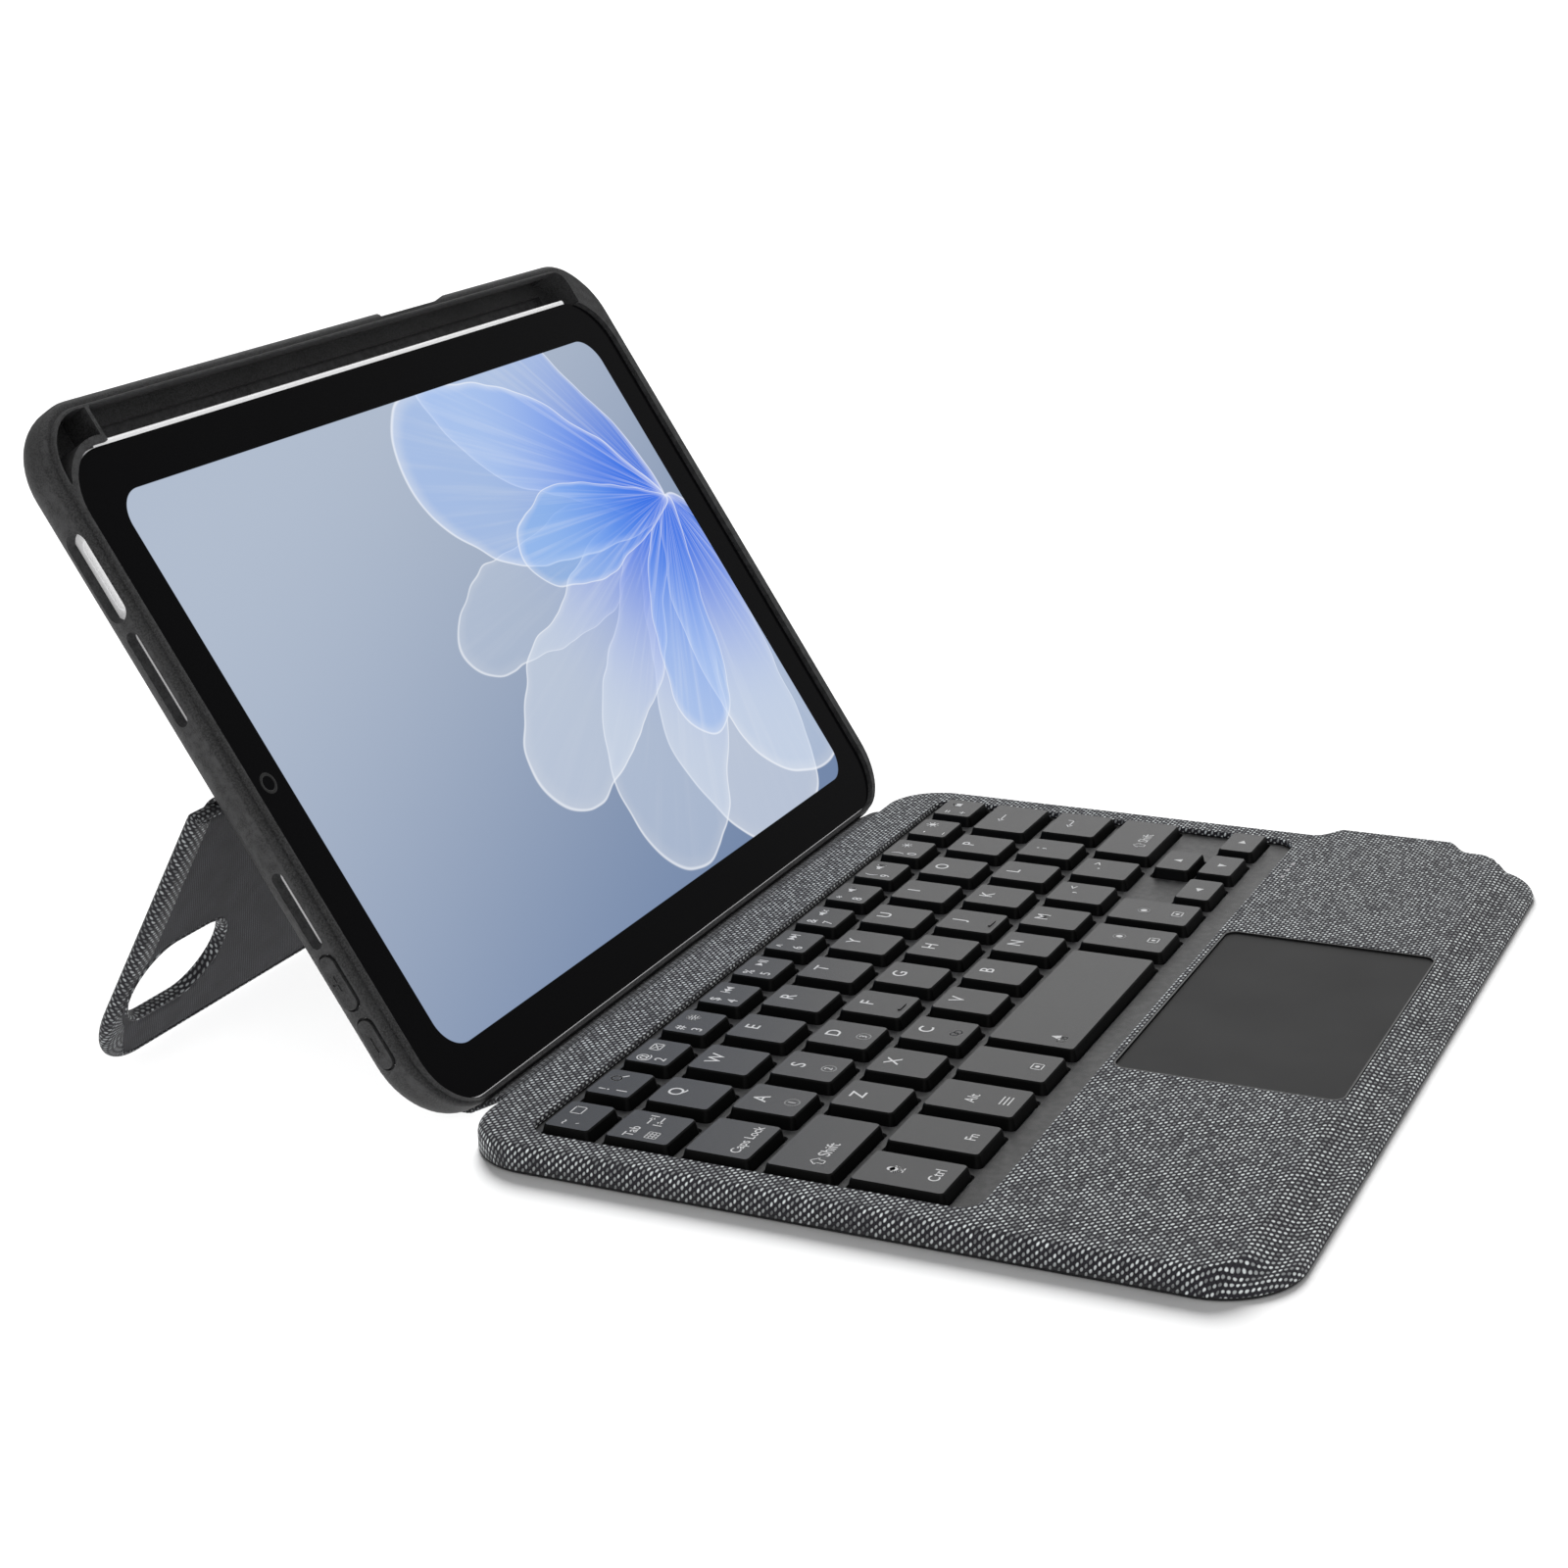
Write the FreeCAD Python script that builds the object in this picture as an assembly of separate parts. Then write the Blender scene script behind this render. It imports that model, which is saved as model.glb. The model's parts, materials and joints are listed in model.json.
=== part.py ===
import FreeCAD, Part
import math
import os

# Folding keyboard case for an 8.3-inch class tablet, open on a table.
# Frame: X to the user's right, Y away from the user, Z up. Millimetres.
# Origin: centre of the keyboard base's underside, on the table.

os.makedirs("parts", exist_ok=True)
V = FreeCAD.Vector

# ---- keyboard base ----
BASE_WIDTH = 209.4
BASE_DEPTH = 148.4
BASE_LEFT = -BASE_WIDTH / 2
BASE_RIGHT = BASE_WIDTH / 2
BASE_FRONT = -BASE_DEPTH / 2
BASE_BACK = BASE_DEPTH / 2
BACK_RADIUS = 13.5
FRONT_RADIUS = 15.0
PLATEAU_RADIUS = 11.5       # the padded part's front corners
SKIN = 0.6                 # bonded leather sheet under the base
BASE_TOP = 5.0             # fabric surface above the table
EDGE_ROUND = 1.3           # rounded top edge of the padded plateau
FLANGE_DEPTH = 6.2         # thin flexible lip along the front edge
FLANGE_TOP = 2.2
PLATEAU_FRONT = BASE_FRONT + FLANGE_DEPTH
COVER_WALL = 2.0           # fabric and foam round the tray's sides
COVER_ROOF = 0.8           # fabric and foam over the tray
TAB_BACK = -26.0           # closing tab on the right edge
TAB_FRONT = -55.1
TAB_REACH = 5.8
TAB_LOW = 2.7
TAB_HIGH = 4.6
TAB_ROOT = 8.9             # how far the tab runs in under the fabric
PORT_Y = 40.0              # charging port in the right edge
PORT_HALF = 4.2
PORT_DEPTH = 4.85
PORT_LOW = 1.45
PORT_HIGH = 4.05
SWITCH_FRONT = 22.0        # slide switch in the right edge
SWITCH_BACK = 29.0
SWITCH_KNOB = 3.0
INDICATOR_X = 74.5         # three indicator lights, in front of the plate
INDICATOR_PITCH = 4.2
INDICATOR_Y = -24.4

# ---- keys ----
KEY_BLOCK = 192.3
KEY_LEFT = -KEY_BLOCK / 2
KEY_BLOCK_BACK = BASE_BACK - 14.15
ROW_GAP = 3.45
NUMBER_DEPTH = 8.6
LETTER_DEPTH = 11.9
BOTTOM_DEPTH = 16.6
ARROW_DEPTH = 7.2
NUMBER_PITCH = 15.13
NUMBER_WIDTH = 10.74
LETTER_PITCH = 15.95
LETTER_WIDTH = 11.1
SPACE_START = 64.4
SPACE_WIDTH = 47.7
KEY_TOP = 5.9
KEY_SKIRT = 3.45           # lower edge of the caps at rest
KEY_TRAVEL = 1.1
CAP_FLARE = 0.7            # how much wider a cap is at its skirt, each side
CAP_WALL = 0.8
CAP_ROOF = 0.9
HOLE_GAP = 0.35            # plate to cap skirt, all round
PLATE_LOW = 3.0
PLATE_TOP = 3.75
PLATE_BACK = KEY_BLOCK_BACK + 2.7
KEY_BLOCK_FRONT = KEY_BLOCK_BACK - NUMBER_DEPTH - 3 * LETTER_DEPTH - BOTTOM_DEPTH - 4 * ROW_GAP
PLATE_FRONT = KEY_BLOCK_FRONT - 6.3
PLATE_SIDE = KEY_BLOCK / 2 + 1.5
PLATE_RADIUS = 4.5

# ---- trackpad ----
PAD_CENTRE = 2.9
PAD_WIDTH = 74.0
PAD_DEPTH = 42.7
PAD_BACK = PLATE_FRONT - 1.6
PAD_FRONT = PAD_BACK - PAD_DEPTH
PAD_TOP = 4.45
PAD_THICK = 1.0
PAD_GAP = 0.35
PAD_RADIUS = 2.6
PAD_TRAVEL = 0.35

# ---- layers inside the base ----
TRAY_FLOOR = 1.35
STEEL_LOW = 1.4
STEEL_TOP = 1.7
SHEET_LOW = 1.75
SHEET_TOP = 2.05
DOME_TOP = 3.55
SCISSOR_TOP = 3.2

# ---- hinge strip between the base and the shell ----
STRIP_WIDTH = 172.0
FOLD_GAP = 0.45            # base edge to the first fold
FOLD_Y = BASE_BACK + FOLD_GAP
FOLD_Z = 3.82
STRIP_RUN = 6.25           # the strip slopes down from the base fold to the shell fold
STRIP_FALL = 3.2
STRIP_LENGTH = math.hypot(STRIP_RUN, STRIP_FALL)
STRIP_BELOW = 0.45         # thickness either side of the two fold lines
STRIP_ABOVE = 0.15
TAIL_T = 0.5               # fabric wrapped round the shell's lower back edge
TAIL_FLAP = 14.0

# ---- tablet ----
TILT = 32.6                # screen leans back from upright
TAB_W = 195.4
TAB_H = 134.8
TAB_T = 6.3
TAB_R = 12.0
BEZEL = 9.43
GLASS_T = 0.8
TABLET_LOW = -BEZEL        # local up coordinate of the tablet's lower edge
TABLET_HIGH = TAB_H - BEZEL

# ---- shell, in its own frame: x right, y up the screen, z out of the glass ----
SHELL_LEFT = -100.6
SHELL_RIGHT = 102.4
SHELL_LOW = -10.75
SHELL_HIGH = 135.1
SHELL_BACK = -8.6
SHELL_FRONT = 0.1
LIP = 0.9                  # raised lip round the glass
LIP_OUT = 1.5              # lip's outer foot, in from the shell's side
LIP_OUT_LOW = 0.45         # the same along the thin lower wall
LIP_SLOPE = 0.7
LIP_SLOPE_LOW = 0.3
FIT = 0.15                 # shell to tablet, all round
FLOOR_N = -6.6             # inner face of the back
FLOOR_ROUND = 1.2          # recess's inner bottom edge
BACK_ROUND = 5.2
FRONT_ROUND = 1.3
BOTTOM_CORNER = 16.0
TOP_CORNER = 14.5
FOLD_U = SHELL_LOW - 0.25  # second fold, just under the shell's lower edge
FOLD_N = -4.6

# ---- pencil channel along the shell's top ----
CHANNEL_LEFT = -83.0
CHANNEL_RIGHT = 91.5
CHANNEL_MOUTH = 132.6
CHANNEL_DEEP = 133.5
CHANNEL_STEP = -5.4        # raised strip of the channel's floor
END_WALL = 1.0

# ---- kickstand ----
KICK_HALF = 101.0
KICK_U = 60.5              # hinge line up the back
KICK_N = -10.6             # hinge line behind the glass
KICK_LENGTH = 65.3
KICK_T = 2.2
KICK_ANGLE = -60.7         # direction of the open stand, from +Y towards +Z
KICK_RADIUS = 16.0
WINDOW_W = 27.4
WINDOW_H = 17.5
WINDOW_X = -83.4
WINDOW_FROM_TIP = 20.45
ANCHOR_HALF = 95.0         # band that holds the stand to the shell's back

SIN_T = math.sin(math.radians(TILT))
COS_T = math.cos(math.radians(TILT))
# The shell hangs from the second fold, which lies near the table behind the base.
ORIGIN_Y = FOLD_Y + STRIP_RUN - FOLD_U * SIN_T + FOLD_N * COS_T
ORIGIN_Z = FOLD_Z - STRIP_FALL - FOLD_U * COS_T - FOLD_N * SIN_T
SHELL_PLACE = FreeCAD.Placement(V(0, ORIGIN_Y, ORIGIN_Z), FreeCAD.Rotation(V(1, 0, 0), 90 - TILT))


# ================= helpers =================

def box(x0, x1, y0, y1, z0, z1):
    return Part.makeBox(x1 - x0, y1 - y0, z1 - z0, V(x0, y0, z0))


def rounded(x0, x1, y0, y1, front_left, front_right, back_right, back_left, z=0.0):
    """Closed wire of a rectangle with its own radius at each corner."""
    k = 1 - math.sqrt(0.5)
    corners = (
        (V(x0, y0 + front_left, z), V(x0 + k * front_left, y0 + k * front_left, z), V(x0 + front_left, y0, z)),
        (V(x1 - front_right, y0, z), V(x1 - k * front_right, y0 + k * front_right, z), V(x1, y0 + front_right, z)),
        (V(x1, y1 - back_right, z), V(x1 - k * back_right, y1 - k * back_right, z), V(x1 - back_right, y1, z)),
        (V(x0 + back_left, y1, z), V(x0 + k * back_left, y1 - k * back_left, z), V(x0, y1 - back_left, z)),
    )
    edges = []
    for i, (start, middle, end) in enumerate(corners):
        edges.append(Part.Arc(start, middle, end).toShape())
        following = corners[(i + 1) % 4][0]
        if end.distanceToPoint(following) > 1e-6:
            edges.append(Part.LineSegment(end, following).toShape())
    return Part.Wire(edges)


def slab(wire, height):
    return Part.Face(wire).extrude(V(0, 0, height))


def block(x0, x1, y0, y1, z0, z1, radius):
    """Rectangular block with one radius on its four upright edges."""
    return slab(rounded(x0, x1, y0, y1, radius, radius, radius, radius, z0), z1 - z0)


def edges_at(shape, z, tolerance=1e-4):
    found = []
    for edge in shape.Edges:
        b = edge.BoundBox
        if abs(b.ZMin - z) < tolerance and abs(b.ZMax - z) < tolerance:
            found.append(edge)
    return found


def disc(x, y, z0, z1, radius):
    return Part.makeCylinder(radius, z1 - z0, V(x, y, z0), V(0, 0, 1))


def pill_through_x(u0, u1, n0, n1, x0, x1):
    """Pill-shaped bar that runs along X, its ends rounded in the U direction."""
    r = (n1 - n0) / 2
    mid = (n0 + n1) / 2
    bar = box(x0, x1, u0 + r, u1 - r, n0, n1)
    for u in (u0 + r, u1 - r):
        bar = bar.fuse(Part.makeCylinder(r, x1 - x0, V(x0, u, mid), V(1, 0, 0)))
    return bar.removeSplitter()


def on_shell(shape):
    moved = shape.copy()
    moved.Placement = SHELL_PLACE.multiply(moved.Placement)
    return moved


def save(name, shapes):
    if not isinstance(shapes, (list, tuple)):
        shapes = [shapes]
    solids = []
    for shape in shapes:
        solids.extend(shape.Solids)
    result = solids[0] if len(solids) == 1 else Part.makeCompound(solids)
    result.exportStep("parts/%s.step" % name)


# ================= keyboard layout =================

def key_rectangles():
    """Every key as (group, left, right, front, back) at its top face."""
    keys = []
    back = KEY_BLOCK_BACK

    def add(group, start, width, top, bottom):
        keys.append((group, KEY_LEFT + start, KEY_LEFT + start + width, bottom, top))

    for i in range(13):
        add("number_keys", i * NUMBER_PITCH, NUMBER_WIDTH, back, back - NUMBER_DEPTH)
    back -= NUMBER_DEPTH + ROW_GAP
    letter_rows = (
        ("tab_key", 11.5, "upper_letter_keys", 15.7, 10, "backspace_key"),
        ("caps_lock_key", 14.0, "home_letter_keys", 18.55, 10, "enter_key"),
        ("left_shift_key", 21.6, "lower_letter_keys", 26.35, 9, "right_shift_key"),
    )
    for first, first_width, letters, start, count, last in letter_rows:
        front = back - LETTER_DEPTH
        add(first, 0.0, first_width, back, front)
        for i in range(count):
            add(letters, start + i * LETTER_PITCH, LETTER_WIDTH, back, front)
        last_start = start + count * LETTER_PITCH
        add(last, last_start, KEY_BLOCK - last_start, back, front)
        back = front - ROW_GAP
    front = back - BOTTOM_DEPTH
    small = 11.8
    for i in range(4):
        add("left_modifier_keys", i * 16.13, small, back, front)
    add("space_bar", SPACE_START, SPACE_WIDTH, back, front)
    for i in range(2):
        add("right_modifier_keys", 116.4 + i * 15.95, small, back, front)
    for i in range(3):
        start = KEY_BLOCK - small - (2 - i) * 16.1
        add("arrow_keys", start, small, front + ARROW_DEPTH, front)
    add("arrow_keys", KEY_BLOCK - small - 16.1, small, back, back - ARROW_DEPTH)
    return keys


def make_cap(left, right, front, back):
    """Hollow cap: flared skirt, softened top edge, open underneath."""
    f = CAP_FLARE
    skirt = rounded(left - f, right + f, front - f, back + f, 1.3, 1.3, 1.3, 1.3, KEY_SKIRT)
    shoulder = rounded(left - 0.12, right + 0.12, front - 0.12, back + 0.12, 0.8, 0.8, 0.8, 0.8, KEY_TOP - 0.25)
    top = rounded(left + 0.1, right - 0.1, front + 0.1, back - 0.1, 0.7, 0.7, 0.7, 0.7, KEY_TOP)
    cap = Part.makeLoft([skirt, shoulder, top], True, True)
    w = CAP_WALL - f
    hollow = box(left + w, right - w, front + w, back - w, KEY_SKIRT - 1, KEY_TOP - CAP_ROOF)
    return cap.cut(hollow)


def make_keys(keys):
    groups = {}
    for group, left, right, front, back in keys:
        groups.setdefault(group, []).append(make_cap(left, right, front, back))
    home = groups["home_letter_keys"]
    for index in (3, 6):
        b = home[index].BoundBox
        x = (b.XMin + b.XMax) / 2
        y = b.YMin + CAP_FLARE + 1.6
        bump = block(x - 1.7, x + 1.7, y - 0.3, y + 0.3, KEY_TOP - 0.2, KEY_TOP + 0.2, 0.28)
        home[index] = home[index].fuse(bump).removeSplitter()
    for group, caps in groups.items():
        save(group, caps)


def make_domes(keys):
    domes = []
    for _, left, right, front, back in keys:
        x = (left + right) / 2
        y = (front + back) / 2
        radius = min(2.4, (back - front) / 2 - 1.6)
        domes.append(Part.makeCone(radius, radius * 0.6, DOME_TOP - SHEET_TOP, V(x, y, SHEET_TOP)))
    save("rubber_domes", domes)


def make_scissors(keys):
    """One square folding frame round each dome, lying under its cap."""
    frames = []
    for _, left, right, front, back in keys:
        x = (left + right) / 2
        y = (front + back) / 2
        half = min(4.2, (back - front) / 2 - 0.5)
        bar = 0.6
        outer = box(x - half, x + half, y - half, y + half, SHEET_TOP + 0.05, SCISSOR_TOP)
        inner = box(x - half + bar, x + half - bar, y - half + bar, y + half - bar, SHEET_TOP, SCISSOR_TOP + 1)
        frames.append(outer.cut(inner))
    save("scissor_frames", frames)


def make_key_plate(keys):
    plate = block(-PLATE_SIDE, PLATE_SIDE, PLATE_FRONT, PLATE_BACK, PLATE_LOW, PLATE_TOP, PLATE_RADIUS)
    wall = CAP_FLARE + HOLE_GAP
    holes = []
    for _, left, right, front, back in keys:
        holes.append(block(left - wall, right + wall, front - wall, back + wall, PLATE_LOW - 1, PLATE_TOP + 1, 1.2))
    plate = plate.cut(Part.makeCompound(holes))
    inset = 2.4
    skirt_out = block(-PLATE_SIDE, PLATE_SIDE, PLATE_FRONT, PLATE_BACK, SHEET_TOP + 0.05, PLATE_LOW, PLATE_RADIUS)
    wall_in = 0.3
    skirt_in = block(-PLATE_SIDE + wall_in, PLATE_SIDE - wall_in, PLATE_FRONT + inset, PLATE_BACK - wall_in,
                     SHEET_TOP - 1, PLATE_LOW + 1, PLATE_RADIUS - wall_in)
    save("key_plate", plate.fuse(skirt_out.cut(skirt_in)).cut(ribbon_slot()).removeSplitter())


# ================= base covers and inner parts =================

def plateau(inset, z0, z1):
    return slab(rounded(BASE_LEFT + inset, BASE_RIGHT - inset, PLATEAU_FRONT + inset, BASE_BACK - inset,
                        PLATEAU_RADIUS - inset, PLATEAU_RADIUS - inset,
                        BACK_RADIUS - inset, BACK_RADIUS - inset, z0), z1 - z0)


def footprint(z0, z1):
    return slab(rounded(BASE_LEFT, BASE_RIGHT, BASE_FRONT, BASE_BACK,
                        FRONT_RADIUS, FRONT_RADIUS, BACK_RADIUS, BACK_RADIUS, z0), z1 - z0)


def pad_opening(gap, z0, z1):
    half = PAD_WIDTH / 2 + gap
    return block(PAD_CENTRE - half, PAD_CENTRE + half, PAD_FRONT - gap, PAD_BACK + gap, z0, z1, PAD_RADIUS + gap)


def make_base_covers():
    save("base_bottom_cover", footprint(0, SKIN))

    body = plateau(0, SKIN, BASE_TOP)
    body = body.makeFillet(EDGE_ROUND, edges_at(body, BASE_TOP))
    flange = slab(rounded(BASE_LEFT, BASE_RIGHT, BASE_FRONT, PLATEAU_FRONT + 20,
                          FRONT_RADIUS, FRONT_RADIUS, 2, 2, SKIN), FLANGE_TOP - SKIN)
    flange = flange.makeFillet(0.8, [e for e in edges_at(flange, FLANGE_TOP) if e.BoundBox.YMin < PLATEAU_FRONT])
    cover = body.fuse(flange)
    cover = cover.cut(plateau(COVER_WALL, SKIN - 1, BASE_TOP - COVER_ROOF))
    plate_gap = 0.15
    cover = cover.cut(block(-PLATE_SIDE - plate_gap, PLATE_SIDE + plate_gap, PLATE_FRONT - plate_gap,
                            PLATE_BACK + plate_gap, SKIN, BASE_TOP + 1, PLATE_RADIUS))
    cover = cover.cut(pad_opening(0.15, SKIN, BASE_TOP + 1))
    cover = cover.cut(indicator_boxes(0.1, SKIN, BASE_TOP + 1))
    cover = cover.cut(front_magnet_blocks(0.05))
    cover = cover.cut([tab_slot(), port_shell(0.2, 2), switch_slot()])
    save("base_fabric_cover", cover.removeSplitter())
    save("front_magnets", front_magnet_blocks(0))


def port_shell(gap, outer):
    """Pill-shaped connector body that runs in from the right edge."""
    x1 = BASE_RIGHT - 0.25
    return pill_through_x(PORT_Y - PORT_HALF - gap, PORT_Y + PORT_HALF + gap, PORT_LOW - gap / 5, PORT_HIGH + gap / 5,
                          x1 - PORT_DEPTH - gap, x1 + outer)


def switch_slot():
    return box(BASE_RIGHT - 4, BASE_RIGHT + 1, SWITCH_FRONT, SWITCH_BACK, 1.9, 3.3)


def tab_slot():
    return box(BASE_RIGHT - TAB_ROOT - 0.1, BASE_RIGHT + 1, TAB_FRONT - 0.1, TAB_BACK + 0.1,
               TAB_LOW - 0.05, TAB_HIGH + 0.05)


def indicator_boxes(gap, z0, z1):
    boxes = []
    for i in range(3):
        x = INDICATOR_X + i * INDICATOR_PITCH
        boxes.append(box(x - 0.9 - gap, x + 0.9 + gap, INDICATOR_Y - 0.4 - gap, INDICATOR_Y + 0.4 + gap, z0, z1))
    return Part.makeCompound(boxes)


def front_magnet_blocks(gap):
    blocks = []
    for x in (-80, -55, 55, 80):
        blocks.append(block(x - 6 - gap, x + 6 + gap, BASE_FRONT + 1.9 - gap, BASE_FRONT + 5.1 + gap,
                            SKIN + 0.25 - gap, FLANGE_TOP - 0.35 + gap, 0.8))
    return blocks


def make_tray():
    outer = plateau(COVER_WALL + 0.05, SKIN, BASE_TOP - COVER_ROOF - 0.05)
    inner = plateau(COVER_WALL + 1.25, TRAY_FLOOR, BASE_TOP)
    tray = outer.cut(inner)
    # two ribs carry the cover beside the trackpad, in front of the key plate
    wall = COVER_WALL + 1.3
    rib_back = PLATE_FRONT - 0.6
    left_rib = box(BASE_LEFT + wall, PAD_CENTRE - PAD_WIDTH / 2 - 4, rib_back - 1, rib_back, TRAY_FLOOR, 4.1)
    right_rib = box(PAD_CENTRE + PAD_WIDTH / 2 + 4, BASE_RIGHT - wall, rib_back - 1, rib_back, TRAY_FLOOR, 4.1)
    tray = tray.fuse([left_rib, right_rib])
    tray = tray.cut([tab_slot(), port_shell(0.2, 2), switch_slot(), ribbon_slot()])
    tray = tray.cut(pad_opening(0.3, TRAY_FLOOR, BASE_TOP))
    save("base_tray", tray.removeSplitter())


def make_tab():
    """Stiff closing tab that reaches out of the right edge."""
    tab = slab(rounded(BASE_RIGHT - TAB_ROOT, BASE_RIGHT + TAB_REACH, TAB_FRONT, TAB_BACK,
                       0.5, 3.5, 3.5, 0.5, TAB_LOW), TAB_HIGH - TAB_LOW)
    pocket = block(BASE_RIGHT - 2, BASE_RIGHT + TAB_REACH - 1.5, TAB_FRONT + 4, TAB_BACK - 4,
                   TAB_LOW + 0.4, TAB_HIGH - 0.4, 1.5)
    magnet = block(BASE_RIGHT - 1.9, BASE_RIGHT + TAB_REACH - 1.6, TAB_FRONT + 4.1, TAB_BACK - 4.1,
                   TAB_LOW + 0.45, TAB_HIGH - 0.45, 1.4)
    save("closing_tab", tab.cut(pocket))
    save("closing_tab_magnet", magnet)


def make_base_inner():
    side = PLATE_SIDE - 1.5
    save("key_steel_plate", block(-side, side, PLATE_FRONT + 3, PLATE_BACK - 1.5, STEEL_LOW, STEEL_TOP, 3))
    save("key_membrane", block(-side, side, PLATE_FRONT + 3, PLATE_BACK - 1.5, SHEET_LOW, SHEET_TOP, 3))
    save("battery", block(-90, -42, PAD_FRONT + 5, PAD_BACK - 6, TRAY_FLOOR + 0.05, 4.0, 1.5))
    board_top = SHEET_TOP
    board = box(48, 92, PAD_BACK - 26, PAD_BACK - 4, TRAY_FLOOR + 0.05, board_top)
    controller = box(54, 60, PAD_BACK - 19, PAD_BACK - 13, board_top, board_top + 0.9)
    radio = box(66, 73, PAD_BACK - 24, PAD_BACK - 19, board_top, board_top + 1.1)
    save("circuit_board", board.fuse([controller, radio]).removeSplitter())
    save("key_ribbon", ribbon(0))
    save("indicator_lenses", indicator_boxes(0, board_top + 0.2, BASE_TOP + 0.02))
    wall = 0.35
    bore = pill_through_x(PORT_Y - PORT_HALF + wall, PORT_Y + PORT_HALF - wall, PORT_LOW + wall, PORT_HIGH - wall,
                          BASE_RIGHT - PORT_DEPTH + 0.4, BASE_RIGHT + 1)
    save("charging_port", port_shell(0, 0).cut(bore))


def ribbon(gap):
    """Flat ribbon from the circuit board back to the key membrane."""
    return box(60 - gap, 76 + gap, PAD_BACK - 8 - gap, PLATE_FRONT + 6 + gap, SHEET_TOP + 0.02 - gap, SHEET_TOP + 0.14 + gap)


def ribbon_slot():
    return ribbon(0.15)


def make_switch():
    save("power_switch_body", box(BASE_RIGHT - 5.1, BASE_RIGHT - 3.35, SWITCH_FRONT - 0.5, SWITCH_BACK + 0.5, 1.45, 3.9))
    front = SWITCH_FRONT + 0.4
    knob = box(BASE_RIGHT - 3.2, BASE_RIGHT - 0.1, front, front + SWITCH_KNOB, 2.1, 3.1)
    grip = box(BASE_RIGHT - 0.1, BASE_RIGHT + 0.5, front + 0.5, front + SWITCH_KNOB - 0.5, 2.2, 3.0)
    save("power_switch_knob", knob.fuse(grip).removeSplitter())


def make_trackpad():
    half = PAD_WIDTH / 2 - PAD_GAP
    surface = block(PAD_CENTRE - half, PAD_CENTRE + half, PAD_FRONT + PAD_GAP, PAD_BACK - PAD_GAP,
                    PAD_TOP - PAD_THICK, PAD_TOP, PAD_RADIUS - PAD_GAP)
    save("trackpad_surface", surface)
    board = box(PAD_CENTRE - half + 2, PAD_CENTRE + half - 2, PAD_FRONT + 2.5, PAD_BACK - 2.5,
                PAD_TOP - PAD_THICK - 0.6, PAD_TOP - PAD_THICK)
    save("trackpad_sensor_board", board)
    rim_out = pad_opening(0.1, PAD_TOP - 1.6, BASE_TOP - 0.12)
    rim_in = pad_opening(-0.25, PAD_TOP - 3, BASE_TOP + 1)
    save("trackpad_rim", rim_out.cut(rim_in))
    y = PAD_FRONT + 8
    save("trackpad_switch", disc(PAD_CENTRE, y, TRAY_FLOOR + 0.05, PAD_TOP - PAD_THICK - 0.6 - PAD_TRAVEL - 0.1, 3.0))


# ================= hinge strip =================

def make_hinge():
    half = STRIP_WIDTH / 2
    strip = block(-half, half, 0.25, STRIP_LENGTH - 0.15, -STRIP_BELOW, STRIP_ABOVE, 0.5)
    slope = -math.degrees(math.atan2(STRIP_FALL, STRIP_RUN))
    strip.Placement = FreeCAD.Placement(V(0, FOLD_Y, FOLD_Z), FreeCAD.Rotation(V(1, 0, 0), slope))
    save("hinge_strip", strip)


def make_hinge_tail():
    """Fabric bonded round the shell's lower back edge, where the strip holds on."""
    half = STRIP_WIDTH / 2
    u_c = SHELL_LOW + BACK_ROUND
    n_c = SHELL_BACK + BACK_ROUND
    gap = 0.02
    axis_x = V(1, 0, 0)
    outer = Part.makeCylinder(BACK_ROUND + gap + TAIL_T, 2 * half, V(-half, u_c, n_c), axis_x)
    inner = Part.makeCylinder(BACK_ROUND + gap, 2 * half + 2, V(-half - 1, u_c, n_c), axis_x)
    behind_fold = box(-half, half, u_c - 9, u_c, n_c - 9, FOLD_N - 0.4)
    ring = outer.cut(inner).common(behind_fold)
    flap = box(-half, half, u_c, u_c + TAIL_FLAP, SHELL_BACK - gap - TAIL_T, SHELL_BACK - gap)
    save("hinge_tail", on_shell(ring.fuse(flap).removeSplitter()))


# ================= shell =================

def shell_outline(inset, low_inset, z):
    bottom = BOTTOM_CORNER - inset
    top = TOP_CORNER - inset
    return rounded(SHELL_LEFT + inset, SHELL_RIGHT - inset, SHELL_LOW + low_inset, SHELL_HIGH - inset,
                   bottom, bottom, top, top, z)


def tablet_block(grow, z0, z1):
    return block(-TAB_W / 2 - grow, TAB_W / 2 + grow, TABLET_LOW - grow, TABLET_HIGH + grow, z0, z1, TAB_R + grow)


def corner_pocket():
    """Curved triangular hollow outside the channel's left end, in the shell's top corner."""
    margin = 2.6
    depth = -5.5
    region = slab(shell_outline(margin, margin, depth), 12)
    region = region.cut(disc(TAB_R - TAB_W / 2, TABLET_HIGH - TAB_R, depth - 1, 12, TAB_R + 1.6))
    return region.common(box(SHELL_LEFT, CHANNEL_LEFT - END_WALL, TABLET_HIGH - 5.5, SHELL_HIGH, depth - 1, 12))


def pencil_channel():
    mouth = slab(rounded(CHANNEL_LEFT, CHANNEL_RIGHT, TABLET_HIGH - 1.0, CHANNEL_MOUTH, 0.3, 0.3, 3.6, 0.8,
                         CHANNEL_STEP), 12)
    deep = box(CHANNEL_LEFT + 0.4, CHANNEL_RIGHT - 4, TABLET_HIGH - 1.0, CHANNEL_DEEP, CHANNEL_STEP, -1.6)
    inner = box(CHANNEL_LEFT + 0.4, CHANNEL_RIGHT - 4, TABLET_HIGH - 1.0, CHANNEL_MOUTH - 2.6, FLOOR_N, CHANNEL_STEP + 1)
    return mouth.fuse([deep, inner]).removeSplitter()


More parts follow.
